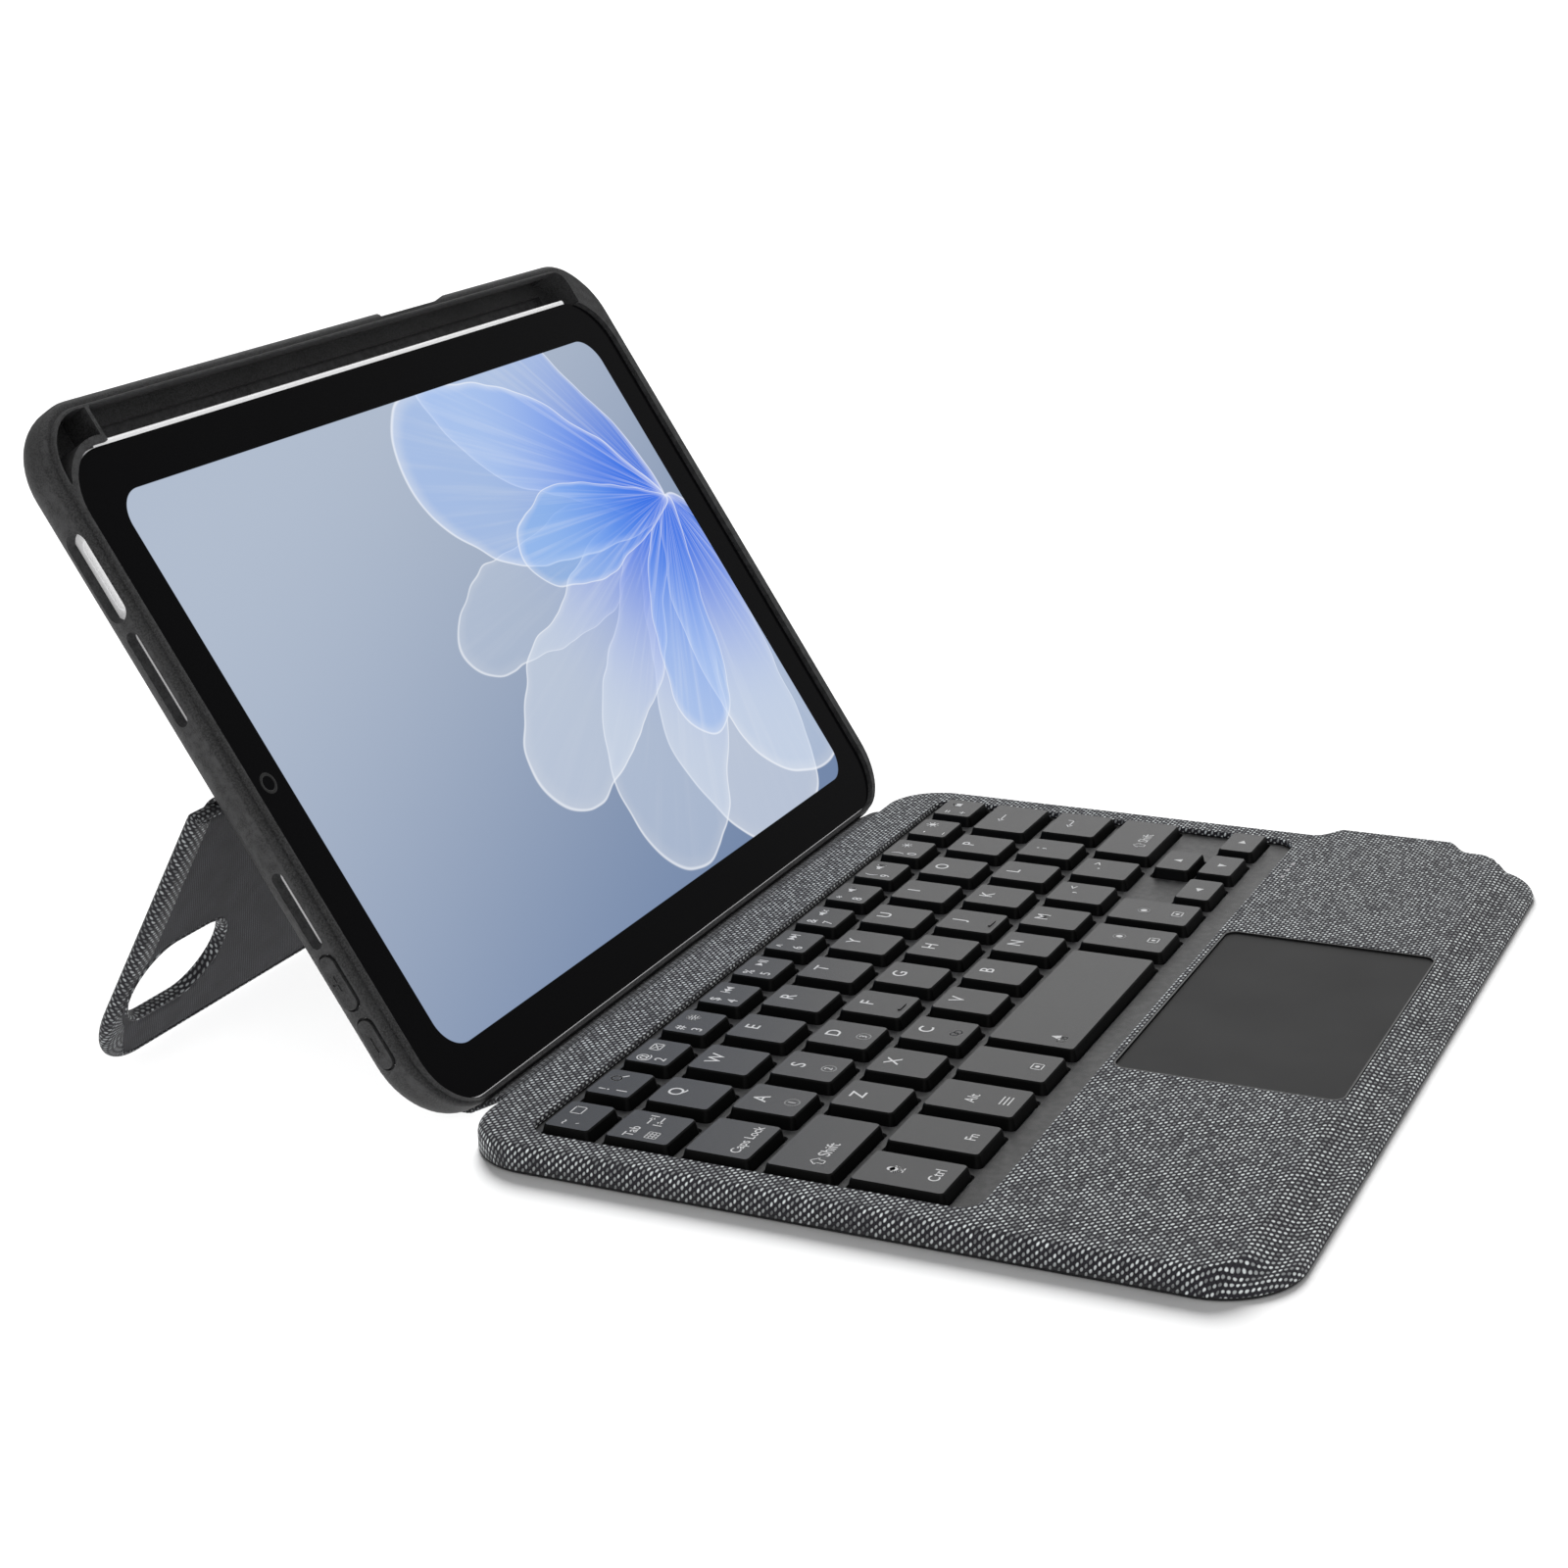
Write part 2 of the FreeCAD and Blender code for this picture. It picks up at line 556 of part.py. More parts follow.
POWER_U = (94.8, 112.4)
SPEAKER_UPPER_U = (73.6, 92.6)
SPEAKER_LOWER_U = (28.2, 43.6)
VOLUME_UP_U = (16.0, 26.6)
VOLUME_DOWN_U = (3.9, 13.6)
VOLUME_N = (-5.0, -1.8)
CAMERA_CUT = (-91.0, -70.5, 97.6, 113.1)


def side_openings():
    """Cut-outs through the two short sides."""
    cuts = []
    left = (SHELL_LEFT - 1, -TAB_W / 2 + 0.5)
    right = (TAB_W / 2 - 0.5, SHELL_RIGHT + 1)
    cuts.append(pill_through_x(POWER_U[0], POWER_U[1], -5.7, -0.9, left[0], left[1]))
    for u0, u1 in (SPEAKER_UPPER_U, SPEAKER_LOWER_U):
        cuts.append(pill_through_x(u0, u1, -4.6, -1.9, left[0], left[1]))
        cuts.append(pill_through_x(u0, u1, -4.6, -1.9, right[0], right[1]))
    middle = (TABLET_LOW + TABLET_HIGH) / 2
    cuts.append(pill_through_x(middle - 7, middle + 7, -6.1, -0.7, right[0], right[1]))
    for u0, u1 in (VOLUME_UP_U, VOLUME_DOWN_U):
        cuts.append(pill_through_x(u0 - 0.45, u1 + 0.45, VOLUME_N[0] - 0.45, VOLUME_N[1] + 0.45, left[0], left[1]))
    return cuts


def pencil_notch():
    """Shallow finger notch in the outer face of the top wall, with a soft right end."""
    x0 = 17.0
    x1 = 46.0
    depth = 1.1
    top = SHELL_HIGH + 1
    low = SHELL_HIGH - depth
    start = V(x0, top, 0)
    points = [V(x0, low, 0), V(x1 - 9, low, 0)]
    curve = Part.BezierCurve()
    curve.setPoles([points[1], V(x1 - 4, low, 0), V(x1 - 5, SHELL_HIGH, 0), V(x1, SHELL_HIGH + 0.02, 0)])
    edges = [
        Part.LineSegment(start, points[0]).toShape(),
        Part.LineSegment(points[0], points[1]).toShape(),
        curve.toShape(),
        Part.LineSegment(V(x1, SHELL_HIGH + 0.02, 0), V(x1, top, 0)).toShape(),
        Part.LineSegment(V(x1, top, 0), start).toShape(),
    ]
    notch = Part.Face(Part.Wire(edges)).extrude(V(0, 0, 20))
    notch.translate(V(0, 0, -15))
    return notch


def make_shell_frame():
    body = slab(shell_outline(0, 0, SHELL_BACK), SHELL_FRONT - SHELL_BACK)
    body = body.makeFillet(BACK_ROUND, edges_at(body, SHELL_BACK))
    body = body.makeFillet(FRONT_ROUND, edges_at(body, SHELL_FRONT))
    foot = shell_outline(LIP_OUT, LIP_OUT_LOW, SHELL_FRONT - 0.6)
    crest = shell_outline(LIP_OUT + LIP_SLOPE, LIP_OUT_LOW + LIP_SLOPE_LOW, LIP)
    body = body.fuse(Part.makeLoft([foot, crest], True, True))
    recess = tablet_block(FIT, FLOOR_N, 10)
    body = body.cut(recess.makeFillet(FLOOR_ROUND, edges_at(recess, FLOOR_N)))
    body = body.cut(pencil_channel())
    body = body.cut(corner_pocket())
    body = body.cut(side_openings())
    body = body.cut(pencil_notch())
    u0 = TABLET_LOW + 6
    u1 = TABLET_HIGH - 4
    body = body.cut(block(-TAB_W / 2 + 5, TAB_W / 2 - 5, u0, u1, SHELL_BACK - 1, FLOOR_N + 1, 9))
    save("shell_frame", on_shell(body.removeSplitter()))


def camera_window(grow, z0, z1):
    x0, x1, u0, u1 = CAMERA_CUT
    r = (u1 - u0) / 2 + grow - 0.01
    return block(x0 - grow, x1 + grow, u0 - grow, u1 + grow, z0, z1, r)


def make_back_parts():
    u0 = TABLET_LOW + 6
    u1 = TABLET_HIGH - 4
    gap = 0.1
    plate = block(-TAB_W / 2 + 5 + gap, TAB_W / 2 - 5 - gap, u0 + gap, u1 - gap, SHELL_BACK + 0.5, FLOOR_N - 0.35, 8.9)
    pockets = []
    magnets = []
    for x in (-40, 0, 40, 78):
        pockets.append(disc(x, 116.0, SHELL_BACK + 0.5 - 0.01, SHELL_BACK + 1.25, 3.6))
        magnets.append(disc(x, 116.0, SHELL_BACK + 0.55, SHELL_BACK + 1.2, 3.5))
    plate = plate.cut(camera_window(0, SHELL_BACK - 1, 2)).cut(Part.makeCompound(pockets))
    save("shell_back_plate", on_shell(plate))
    save("back_magnets", [on_shell(m) for m in magnets])
    fabric = block(-TAB_W / 2 + 5 + gap, TAB_W / 2 - 5 - gap, u0 + gap, u1 - gap, SHELL_BACK, SHELL_BACK + 0.45, 8.9)
    save("shell_back_fabric", on_shell(fabric.cut(camera_window(0.3, SHELL_BACK - 1, 2))))
    lining = block(-TAB_W / 2 + 5 + gap, TAB_W / 2 - 5 - gap, u0 + gap, u1 - gap, FLOOR_N - 0.3, FLOOR_N + 0.1, 8.9)
    save("shell_lining", on_shell(lining.cut(camera_window(0.3, SHELL_BACK - 1, 2))))


def make_volume_covers():
    """Pill-shaped caps in the left wall that press the tablet's volume keys."""
    for name, span, sign in (("volume_up_cover", VOLUME_UP_U, True), ("volume_down_cover", VOLUME_DOWN_U, False)):
        u0, u1 = span
        n0, n1 = VOLUME_N
        cap = pill_through_x(u0, u1, n0, n1, SHELL_LEFT - 0.35, -TAB_W / 2 - FIT - 0.75)
        u = (u0 + u1) / 2
        n = (n0 + n1) / 2
        face = SHELL_LEFT - 0.35
        cut = [box(face - 1, face + 0.15, u - 1.5, u + 1.5, n - 0.18, n + 0.18)]
        if sign:
            cut.append(box(face - 1, face + 0.15, u - 0.18, u + 0.18, n - 1.1, n + 1.1))
        save(name, on_shell(cap.cut(Part.makeCompound(cut))))


# ================= kickstand =================

def kick_place():
    y = ORIGIN_Y + KICK_U * SIN_T - KICK_N * COS_T
    z = ORIGIN_Z + KICK_U * COS_T + KICK_N * SIN_T
    return FreeCAD.Placement(V(0, y, z), FreeCAD.Rotation(V(1, 0, 0), KICK_ANGLE))


def on_kick(shape):
    moved = shape.copy()
    moved.Placement = kick_place().multiply(moved.Placement)
    return moved


def kick_sheet(inset, z0, z1):
    """Sheet in the stand's own frame: x across, y from the hinge to the tip."""
    return slab(rounded(-KICK_HALF + inset, KICK_HALF - inset, 1.6 + inset, KICK_LENGTH - inset,
                        1.0, 1.0, KICK_RADIUS - inset, KICK_RADIUS - inset, z0), z1 - z0)


def kick_window(grow, z0, z1):
    x0 = WINDOW_X - WINDOW_W / 2 - grow
    x1 = WINDOW_X + WINDOW_W / 2 + grow
    y0 = KICK_LENGTH - WINDOW_FROM_TIP - WINDOW_H / 2 - grow
    y1 = y0 + WINDOW_H + 2 * grow
    return block(x0, x1, y0, y1, z0, z1, WINDOW_H / 2 + grow - 0.01)


def make_kickstand():
    half = KICK_T / 2
    skin = 0.45
    hole = kick_window(0, -5, 5)
    outer = kick_sheet(0, half - skin, half).cut(hole)
    inner = kick_sheet(0, -half, -half + skin).cut(hole)
    board = kick_sheet(1.0, -half + skin, half - skin).cut(kick_window(0.8, -5, 5))
    pockets = []
    magnets = []
    reach = 116.0 - KICK_U
    for x in (-40, 0, 40, 78):
        pockets.append(disc(x, reach, -0.55, 0.55, 3.6))
        magnets.append(disc(x, reach, -0.5, 0.5, 3.5))
    board = board.cut(Part.makeCompound(pockets))
    save("kickstand_outer_fabric", on_kick(outer))
    save("kickstand_lining", on_kick(inner))
    save("kickstand_board", on_kick(board))
    save("kickstand_magnets", [on_kick(m) for m in magnets])


def make_kick_anchor():
    """Fabric band bonded to the shell's back; the stand folds from its edge."""
    band = box(-ANCHOR_HALF, ANCHOR_HALF, KICK_U - 10, KICK_U - 1.4, SHELL_BACK - 0.7, SHELL_BACK - 0.02)
    save("kickstand_anchor_band", on_shell(band))


# ================= tablet =================

def make_tablet():
    body = tablet_block(0, -TAB_T, -GLASS_T)
    body = body.makeFillet(1.4, edges_at(body, -TAB_T))
    body = body.cut(tablet_block(-1.2, -TAB_T + 0.8, 0))
    slot = pill_through_x(POWER_U[0] + 1.8, POWER_U[1] - 1.8, -4.7, -1.9, -TAB_W / 2 - 1, -TAB_W / 2 + 3)
    lens_x = (CAMERA_CUT[0] + CAMERA_CUT[1]) / 2
    lens_u = (CAMERA_CUT[2] + CAMERA_CUT[3]) / 2
    body = body.cut(slot).cut(disc(lens_x, lens_u, -TAB_T - 1, -4, 4.1))
    save("tablet_housing", on_shell(body))
    glass = tablet_block(-0.25, -GLASS_T, -0.02)
    pocket = disc(-TAB_W / 2 + BEZEL / 2, (TABLET_LOW + TABLET_HIGH) / 2, -GLASS_T - 1, -0.3, 1.75)
    save("tablet_glass", on_shell(glass.cut(pocket)))
    camera = disc(-TAB_W / 2 + BEZEL / 2, (TABLET_LOW + TABLET_HIGH) / 2, -GLASS_T, -0.35, 1.6)
    save("tablet_front_camera", on_shell(camera))
    display = block(-TAB_W / 2 + BEZEL, TAB_W / 2 - BEZEL, 0, TAB_H - 2 * BEZEL, -GLASS_T - 1.2, -GLASS_T - 0.05, 6.5)
    save("tablet_display", on_shell(display))
    lens = disc(lens_x, lens_u, -TAB_T - 1.0, -4.1, 4.0)
    save("tablet_rear_camera", on_shell(lens))
    button = pill_through_x(POWER_U[0] + 2.0, POWER_U[1] - 2.0, -4.5, -2.1, -TAB_W / 2 - 0.1, -TAB_W / 2 + 0.8)
    save("tablet_power_button", on_shell(button))
    battery = block(-60, 70, 10, 104, -TAB_T + 1.0, -GLASS_T - 1.4, 2)
    save("tablet_battery", on_shell(battery))


# ================= build =================

def main():
    keys = key_rectangles()
    make_base_covers()
    make_tray()
    make_tab()
    make_base_inner()
    make_switch()
    make_trackpad()
    make_key_plate(keys)
    make_keys(keys)
    make_domes(keys)
    make_scissors(keys)
    make_hinge()
    make_hinge_tail()
    make_shell_frame()
    make_back_parts()
    make_volume_covers()
    make_kickstand()
    make_kick_anchor()
    make_tablet()


main()
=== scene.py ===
"""Tablet keyboard case: finishes, cloth pieces, legends, light and camera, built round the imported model."""
import bpy
import json
from math import ceil, cos, hypot, pi, radians, sin
import numpy as np
from mathutils import Matrix, Vector, noise
from mathutils.geometry import delaunay_2d_cdt


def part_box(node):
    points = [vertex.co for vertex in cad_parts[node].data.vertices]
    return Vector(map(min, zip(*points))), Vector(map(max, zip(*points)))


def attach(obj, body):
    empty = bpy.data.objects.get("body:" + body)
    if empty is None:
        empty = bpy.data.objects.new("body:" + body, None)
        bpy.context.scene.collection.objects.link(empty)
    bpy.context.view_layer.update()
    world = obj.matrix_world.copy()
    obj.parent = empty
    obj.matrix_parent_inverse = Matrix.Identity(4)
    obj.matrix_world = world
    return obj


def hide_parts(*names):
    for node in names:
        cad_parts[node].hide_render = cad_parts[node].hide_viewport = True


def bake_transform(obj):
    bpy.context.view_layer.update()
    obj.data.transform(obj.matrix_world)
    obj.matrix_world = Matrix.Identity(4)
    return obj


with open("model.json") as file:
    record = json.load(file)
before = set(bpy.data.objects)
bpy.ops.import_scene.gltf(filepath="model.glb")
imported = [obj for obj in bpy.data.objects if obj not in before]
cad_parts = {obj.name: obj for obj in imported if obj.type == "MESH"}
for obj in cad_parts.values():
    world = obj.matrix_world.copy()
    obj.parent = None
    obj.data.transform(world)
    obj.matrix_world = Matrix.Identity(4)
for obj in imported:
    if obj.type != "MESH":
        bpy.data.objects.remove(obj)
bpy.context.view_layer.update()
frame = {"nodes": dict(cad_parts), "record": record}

MM = 0.001
NODES = frame["nodes"]
SCENE = bpy.context.scene


# ---- shader helpers ----

def linear(code):
    """Linear colour of a six-digit hex code; the nodes take such a code wherever they take a colour."""
    out = []
    for i in (0, 2, 4):
        c = int(code[i:i + 2], 16) / 255
        out.append(c / 12.92 if c <= 0.04045 else ((c + 0.055) / 1.055) ** 2.4)
    return (*out, 1.0)


class Finish:
    """One node material, with short calls for the nodes that it is made of."""

    def __init__(self, name, roughness=0.5, specular=0.5, **sockets):
        self.material = bpy.data.materials.new(name)
        self.material.use_nodes = True
        self.tree = self.material.node_tree
        self.bsdf = self.tree.nodes["Principled BSDF"]
        self.bsdf.inputs["Roughness"].default_value = roughness
        self.bsdf.inputs["Specular IOR Level"].default_value = specular
        for key, value in sockets.items():
            self.bsdf.inputs[key.replace("_", " ")].default_value = value

    def node(self, kind, inputs=(), **settings):
        made = self.tree.nodes.new("ShaderNode" + kind)
        for key, value in settings.items():
            setattr(made, key, value)
        for key, value in dict(inputs).items():
            self.feed(made.inputs[key], value)
        return made

    def feed(self, socket, value):
        if isinstance(value, bpy.types.NodeSocket):
            self.tree.links.new(value, socket)
        else:
            socket.default_value = linear(value) if isinstance(value, str) else value

    def set(self, name, value):
        self.feed(self.bsdf.inputs[name], value)

    def math(self, operation, a, b=0.0):
        return self.node("Math", {0: a, 1: b, 2: 0.0}, operation=operation).outputs[0]

    def add(self, a, b):
        return self.math("ADD", a, b)

    def times(self, a, b):
        return self.math("MULTIPLY", a, b)

    def less(self, a, b):
        return self.math("SUBTRACT", a, b)

    def ramp(self, value, low, high, out_low=0.0, out_high=1.0, smooth=True):
        inputs = {"Value": value, "From Min": low, "From Max": high, "To Min": out_low, "To Max": out_high}
        kind = "SMOOTHSTEP" if smooth else "LINEAR"
        return self.node("MapRange", inputs, interpolation_type=kind, clamp=True).outputs[0]

    def mix(self, amount, a, b):
        made = self.node("Mix", data_type="RGBA")
        self.feed(made.inputs[0], amount)
        self.feed(made.inputs[6], a)
        self.feed(made.inputs[7], b)
        return made.outputs[2]

    def object_mm(self):
        """Object coordinates in millimetres."""
        coords = self.node("TexCoord").outputs["Object"]
        return self.node("VectorMath", {0: coords, "Scale": 1 / MM}, operation="SCALE").outputs[0]

    def cloth_mm(self):
        """Place on the flat cloth in millimetres, stored on the mesh."""
        return self.node("Attribute", attribute_name="cloth").outputs["Vector"]

    def split(self, vector):
        made = self.node("SeparateXYZ", {0: vector})
        return made.outputs[0], made.outputs[1], made.outputs[2]

    def join(self, x, y, z=0.0):
        return self.node("CombineXYZ", {0: x, 1: y, 2: z}).outputs[0]

    def noise(self, vector, scale, detail=2.0, roughness=0.5):
        inputs = {"Vector": vector, "Scale": scale, "Detail": detail, "Roughness": roughness}
        return self.node("TexNoise", inputs).outputs["Fac"]

    def speckle(self, vector):
        return self.node("TexWhiteNoise", {"Vector": vector}, noise_dimensions="3D").outputs["Value"]

    def over(self, a, b):
        return self.math("DIVIDE", a, b)

    def squared(self, a):
        return self.math("POWER", a, 2.0)

    def bump(self, height, distance_mm):
        return self.node("Bump", {"Height": height, "Distance": distance_mm * MM, "Strength": 1.0}).outputs[0]


def weave(name, dark, middle, pale, flecks=1.0, pitch=1.5, row=0.75):
    """Grey melange cloth: staggered pale weft floats over dark warp."""
    m = Finish(name, 0.85, 0.25, Sheen_Weight=0.12, Sheen_Roughness=0.5)
    place = m.cloth_mm()
    wander = m.times(m.less(m.noise(place, 0.35, 2), 0.5), 0.55)
    x, y, _ = m.split(place)
    x = m.add(x, wander)
    y = m.add(y, m.times(m.less(m.noise(place, 0.9, 1), 0.5), 0.25))
    line = m.math("FLOOR", m.over(y, row))
    shifted = m.add(m.over(x, pitch), m.times(line, 0.5))
    column = m.math("FLOOR", shifted)
    across = m.less(m.math("FRACT", shifted), 0.5)
    along = m.less(m.math("FRACT", m.over(y, row)), 0.5)
    lean = m.add(across, m.times(along, 0.55 * row / pitch))
    reach = m.math("SQRT", m.add(m.squared(m.over(lean, 0.30)), m.squared(m.over(along, 0.40))))
    float_shape = m.ramp(reach, 1.12, 0.5)
    chance = m.speckle(m.join(column, line, 3.0))
    patch = m.noise(place, 0.12, 3, 0.6)
    bright = m.ramp(m.add(chance, m.times(m.less(patch, 0.5), 0.45)), 0.0, 0.9, 0.2, 1.0, smooth=False)
    yarn = m.noise(m.join(m.times(x, 0.6), m.times(y, 4.0)), 2.2, 3, 0.7)
    ground = m.mix(m.ramp(yarn, 0.3, 0.72), dark, middle)
    ground = m.mix(m.times(m.ramp(patch, 0.3, 0.75), 0.15), ground, middle)
    m.set("Base Color", m.mix(m.times(m.times(float_shape, bright), flecks), ground, pale))
    warp = m.math("SINE", m.times(x, 2 * pi / (pitch * 0.5)))
    height = m.add(m.times(float_shape, 0.7), m.times(m.add(warp, 1.0), 0.12))
    height = m.add(height, m.times(m.noise(place, 5.0, 2, 0.7), 0.35))
    m.set("Normal", m.bump(height, 0.12))
    m.set("Roughness", m.ramp(float_shape, 0.0, 1.0, 0.85, 0.65))
    return m.material


def twill(name, dark, pale, pitch=0.62, roughness=0.8, relief=0.07):
    """Fine dark diagonal twill lining."""
    m = Finish(name, roughness, 0.25, Sheen_Weight=0.08, Sheen_Roughness=0.5)
    place = m.cloth_mm()
    x, y, _ = m.split(place)
    diagonal = m.math("FRACT", m.over(m.add(x, m.times(y, 0.62)), pitch))
    rib = m.math("PINGPONG", diagonal, 0.5)
    thread = m.math("PINGPONG", m.math("FRACT", m.over(y, 0.36)), 0.5)
    fuzz = m.noise(place, 3.2, 3, 0.7)
    cloud = m.noise(place, 0.16, 2)
    tone = m.ramp(m.add(m.times(rib, 1.1), m.times(fuzz, 0.8)), 0.45, 1.05)
    tone = m.times(tone, m.ramp(cloud, 0.3, 0.7, 0.45, 1.0))
    m.set("Base Color", m.mix(tone, dark, pale))
    m.set("Normal", m.bump(m.add(rib, m.add(m.times(thread, 0.5), m.times(fuzz, 0.4))), relief))
    return m.material


def moulded(name, base, second, roughness, specular, grain, relief, wear=None, coat=0.0):
    """Moulded rubber or plastic: fine spark grain, slightly uneven gloss and lighter rubbed edges."""
    m = Finish(name, roughness, specular, Coat_Weight=coat, Coat_Roughness=0.3)
    place = m.object_mm()
    cloud = m.noise(place, 0.05, 2, 0.5)
    fine = m.noise(place, grain, 2, 0.7)
    colour = m.mix(m.ramp(m.add(m.times(cloud, 0.15), m.times(fine, 1.0 - 0.15)), 0.34, 0.66), base, second)
    if wear is not None:
        edge = m.node("NewGeometry").outputs["Pointiness"]
        rubbed = m.times(m.ramp(edge, 0.51, 0.56), m.ramp(m.noise(place, 0.6, 3), 0.35, 0.7))
        colour = m.mix(rubbed, colour, wear)
    m.set("Base Color", colour)
    uneven = m.add(m.times(cloud, 0.4), m.times(fine, 0.6))
    m.set("Roughness", m.ramp(uneven, 0.3, 0.7, roughness - 0.04, roughness + 0.04))
    m.set("Normal", m.bump(m.add(fine, m.times(m.noise(place, grain * 2.3, 2), 0.5)), relief))
    return m.material


def key_cap(name, side, base, second):
    """Satin key cap: grained top and glossy flanks, the flanks painted near black as shade by how steeply
    they slope.
    """
    m = Finish(name, 0.4, 0.5)
    place = m.object_mm()
    _, _, tilt = m.split(m.node("NewGeometry").outputs["True Normal"])
    fine = m.noise(place, 5.0, 2, 0.7)
    top = m.mix(m.ramp(fine, 0.34, 0.66), base, second)
    # Painted shade: the colour turns from the top colour to the near-black side colour as the surface tilts
    # away from up, standing in for the shade on the flanks.
    facing = m.ramp(tilt, 0.72, 0.97)
    m.set("Base Color", m.mix(facing, side, top))
    m.set("Roughness", m.ramp(fine, 0.3, 0.7, 0.40, 0.48))
    m.set("Specular IOR Level", m.ramp(facing, 0.0, 1.0, 0.12, 0.5))
    m.set("Normal", m.bump(m.add(fine, m.times(m.noise(place, 11.0, 2), 0.5)), 0.02))
    return m.material


def leather(name, base, second, roughness=0.5):
    m = Finish(name, roughness, 0.4)
    place = m.object_mm()
    pebble = m.node("TexVoronoi", {"Vector": place, "Scale": 1.6}, feature="SMOOTH_F1").outputs["Distance"]
    cloud = m.noise(place, 0.12, 3, 0.6)
    m.set("Base Color", m.mix(m.ramp(m.add(pebble, m.times(cloud, 0.4)), 0.3, 0.9), base, second))
    m.set("Roughness", m.ramp(cloud, 0.3, 0.7, roughness - 0.08, roughness + 0.1))
    m.set("Normal", m.bump(m.add(pebble, m.times(m.noise(place, 4.0, 3), 0.4)), 0.06))
    return m.material


def metal(name, base, roughness, brushed=0.0, metallic=1.0, painted_glow=0.0):
    base = linear(base)
    m = Finish(name, roughness, 0.5, Metallic=metallic)
    place = m.object_mm()
    x, y, z = m.split(place)
    streak = m.noise(m.join(m.times(x, 0.3), m.times(y, 6.0), m.times(z, 6.0)), 1.2, 2)
    blast = m.noise(place, 9.0, 2, 0.6)
    mark = m.add(m.times(streak, brushed), m.times(blast, 1.0 - brushed))
    colour = m.mix(m.ramp(mark, 0.3, 0.7, 0.0, 0.35), base, [c * 0.8 for c in base[:3]] + [1.0])
    m.set("Base Color", colour)
    # Painted light: the colour is also emitted, so the metal glows faintly though it is no lamp.
    m.set("Emission Color", colour)
    m.set("Emission Strength", painted_glow)
    m.set("Roughness", m.ramp(mark, 0.3, 0.7, roughness - 0.06, roughness + 0.08))
    m.set("Normal", m.bump(mark, 0.012))
    return m.material


# ---- finishes ----

F = {}
F["rubber"] = moulded("shell_rubber", "121212", "3a3a3b", 0.58, 0.36, 3.2, 0.08, "3c3c3d")
# The key flanks' 050505 is painted shade, not the plastic's own colour.
F["key"] = key_cap("key_plastic", "050505", "1b1b1c", "252526")
F["plate"] = moulded("keyboard_plastic", "0f0f10", "1e1e1f", 0.44, 0.42, 4.0, 0.04, "343434")
F["pad"] = moulded("trackpad_film", "262626", "282828", 0.62, 0.2, 9.0, 0.004)
F["rim"] = moulded("trackpad_rim_plastic", "141414", "1c1c1c", 0.4, 0.4, 6.0, 0.01)
F["tray"] = moulded("tray_plastic", "3a3a3a", "444444", 0.55, 0.4, 3.0, 0.03)
F["board"] = moulded("stiff_board", "6f6f70", "7c7c7d", 0.6, 0.4, 2.0, 0.03)
F["leather"] = leather("leather_black", "141416", "202022")
F["weave"] = weave("woven_fabric", "131216", "3a383f", "f4fafa")
# Darker copy of the woven fabric: painted shade for cloth that lies in shadow (hinge ribbons, kickstand,
# shell back), not a different fabric.
F["weave_painted_shade"] = weave("woven_fabric_painted_shade", "121214", "2e2d32", "b4b8ba", flecks=0.85)
F["twill"] = twill("lining_twill", "0e0e12", "3c3c43")
F["suede"] = twill("lining_suede", "101012", "232326", 0.4, 0.95, 0.04)
F["silicone"] = moulded("silicone", "b0b0b0", "c4c4c4", 0.4, 0.5, 4.0, 0.01)
F["film"] = moulded("polyester_film", "c8cccc", "d4d8d8", 0.35, 0.5, 2.0, 0.005)
F["steel"] = metal("steel", "b6b6b8", 0.35, 0.8)
F["nickel"] = metal("magnet_nickel", "c4c4c6", 0.25, 0.2)
F["circuit"] = moulded("circuit_mask", "123f24", "1a5230", 0.35, 0.5, 2.0, 0.02)
F["cell"] = metal("cell_pouch", "a8aaad", 0.45, 0.5)
# The tablet's silver trim glows at strength 0.32: painted light that keeps it bright in the shaded slots.
F["silver"] = metal("tablet_metal", "e9e9ea", 0.34, 0.0, 0.35, 0.32)
F["lens"] = moulded("coated_lens", "0b0b10", "14141c", 0.12, 0.6, 1.0, 0.001, coat=0.6)
F["pipe"] = moulded("light_pipe", "7d7b80", "8b898e", 0.3, 0.5, 2.0, 0.01)
F["ink"] = moulded("legend_ink", "d8d8d8", "e4e4e4", 0.6, 0.3, 6.0, 0.004)


def dress(finish, *names):
    for name in names:
        slots = NODES[name].data.materials
        slots.clear()
        slots.append(F[finish])


for finish, names in {
        "key": """number_keys tab_key upper_letter_keys backspace_key caps_lock_key home_letter_keys enter_key
               left_shift_key lower_letter_keys right_shift_key left_modifier_keys space_bar
               right_modifier_keys arrow_keys""",
        "rubber": "shell_frame volume_up_cover volume_down_cover",
        "plate": "key_plate power_switch_knob power_switch_body",
        "pad": "trackpad_surface",
        "rim": "trackpad_rim",
        "tray": "base_tray",
        "board": "kickstand_board shell_back_plate",
        "leather": "base_bottom_cover",
        "silicone": "rubber_domes",
        "film": "key_membrane key_ribbon scissor_frames",
        "steel": "key_steel_plate charging_port trackpad_switch",
        "nickel": "front_magnets closing_tab_magnet back_magnets kickstand_magnets",
        "circuit": "circuit_board trackpad_sensor_board",
        "cell": "battery tablet_battery",
        "silver": "tablet_housing tablet_power_button",
        "lens": "tablet_front_camera tablet_rear_camera",
        "pipe": "indicator_lenses"}.items():
    dress(finish, *names.split())


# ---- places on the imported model, in millimetres ----

def span(*names):
    """Lowest and highest corner of some CAD nodes."""
    boxes = [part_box(name) for name in names]
    low = np.array([b[0] for b in boxes]).min(0) / MM
    high = np.array([b[1] for b in boxes]).max(0) / MM
    return low, high


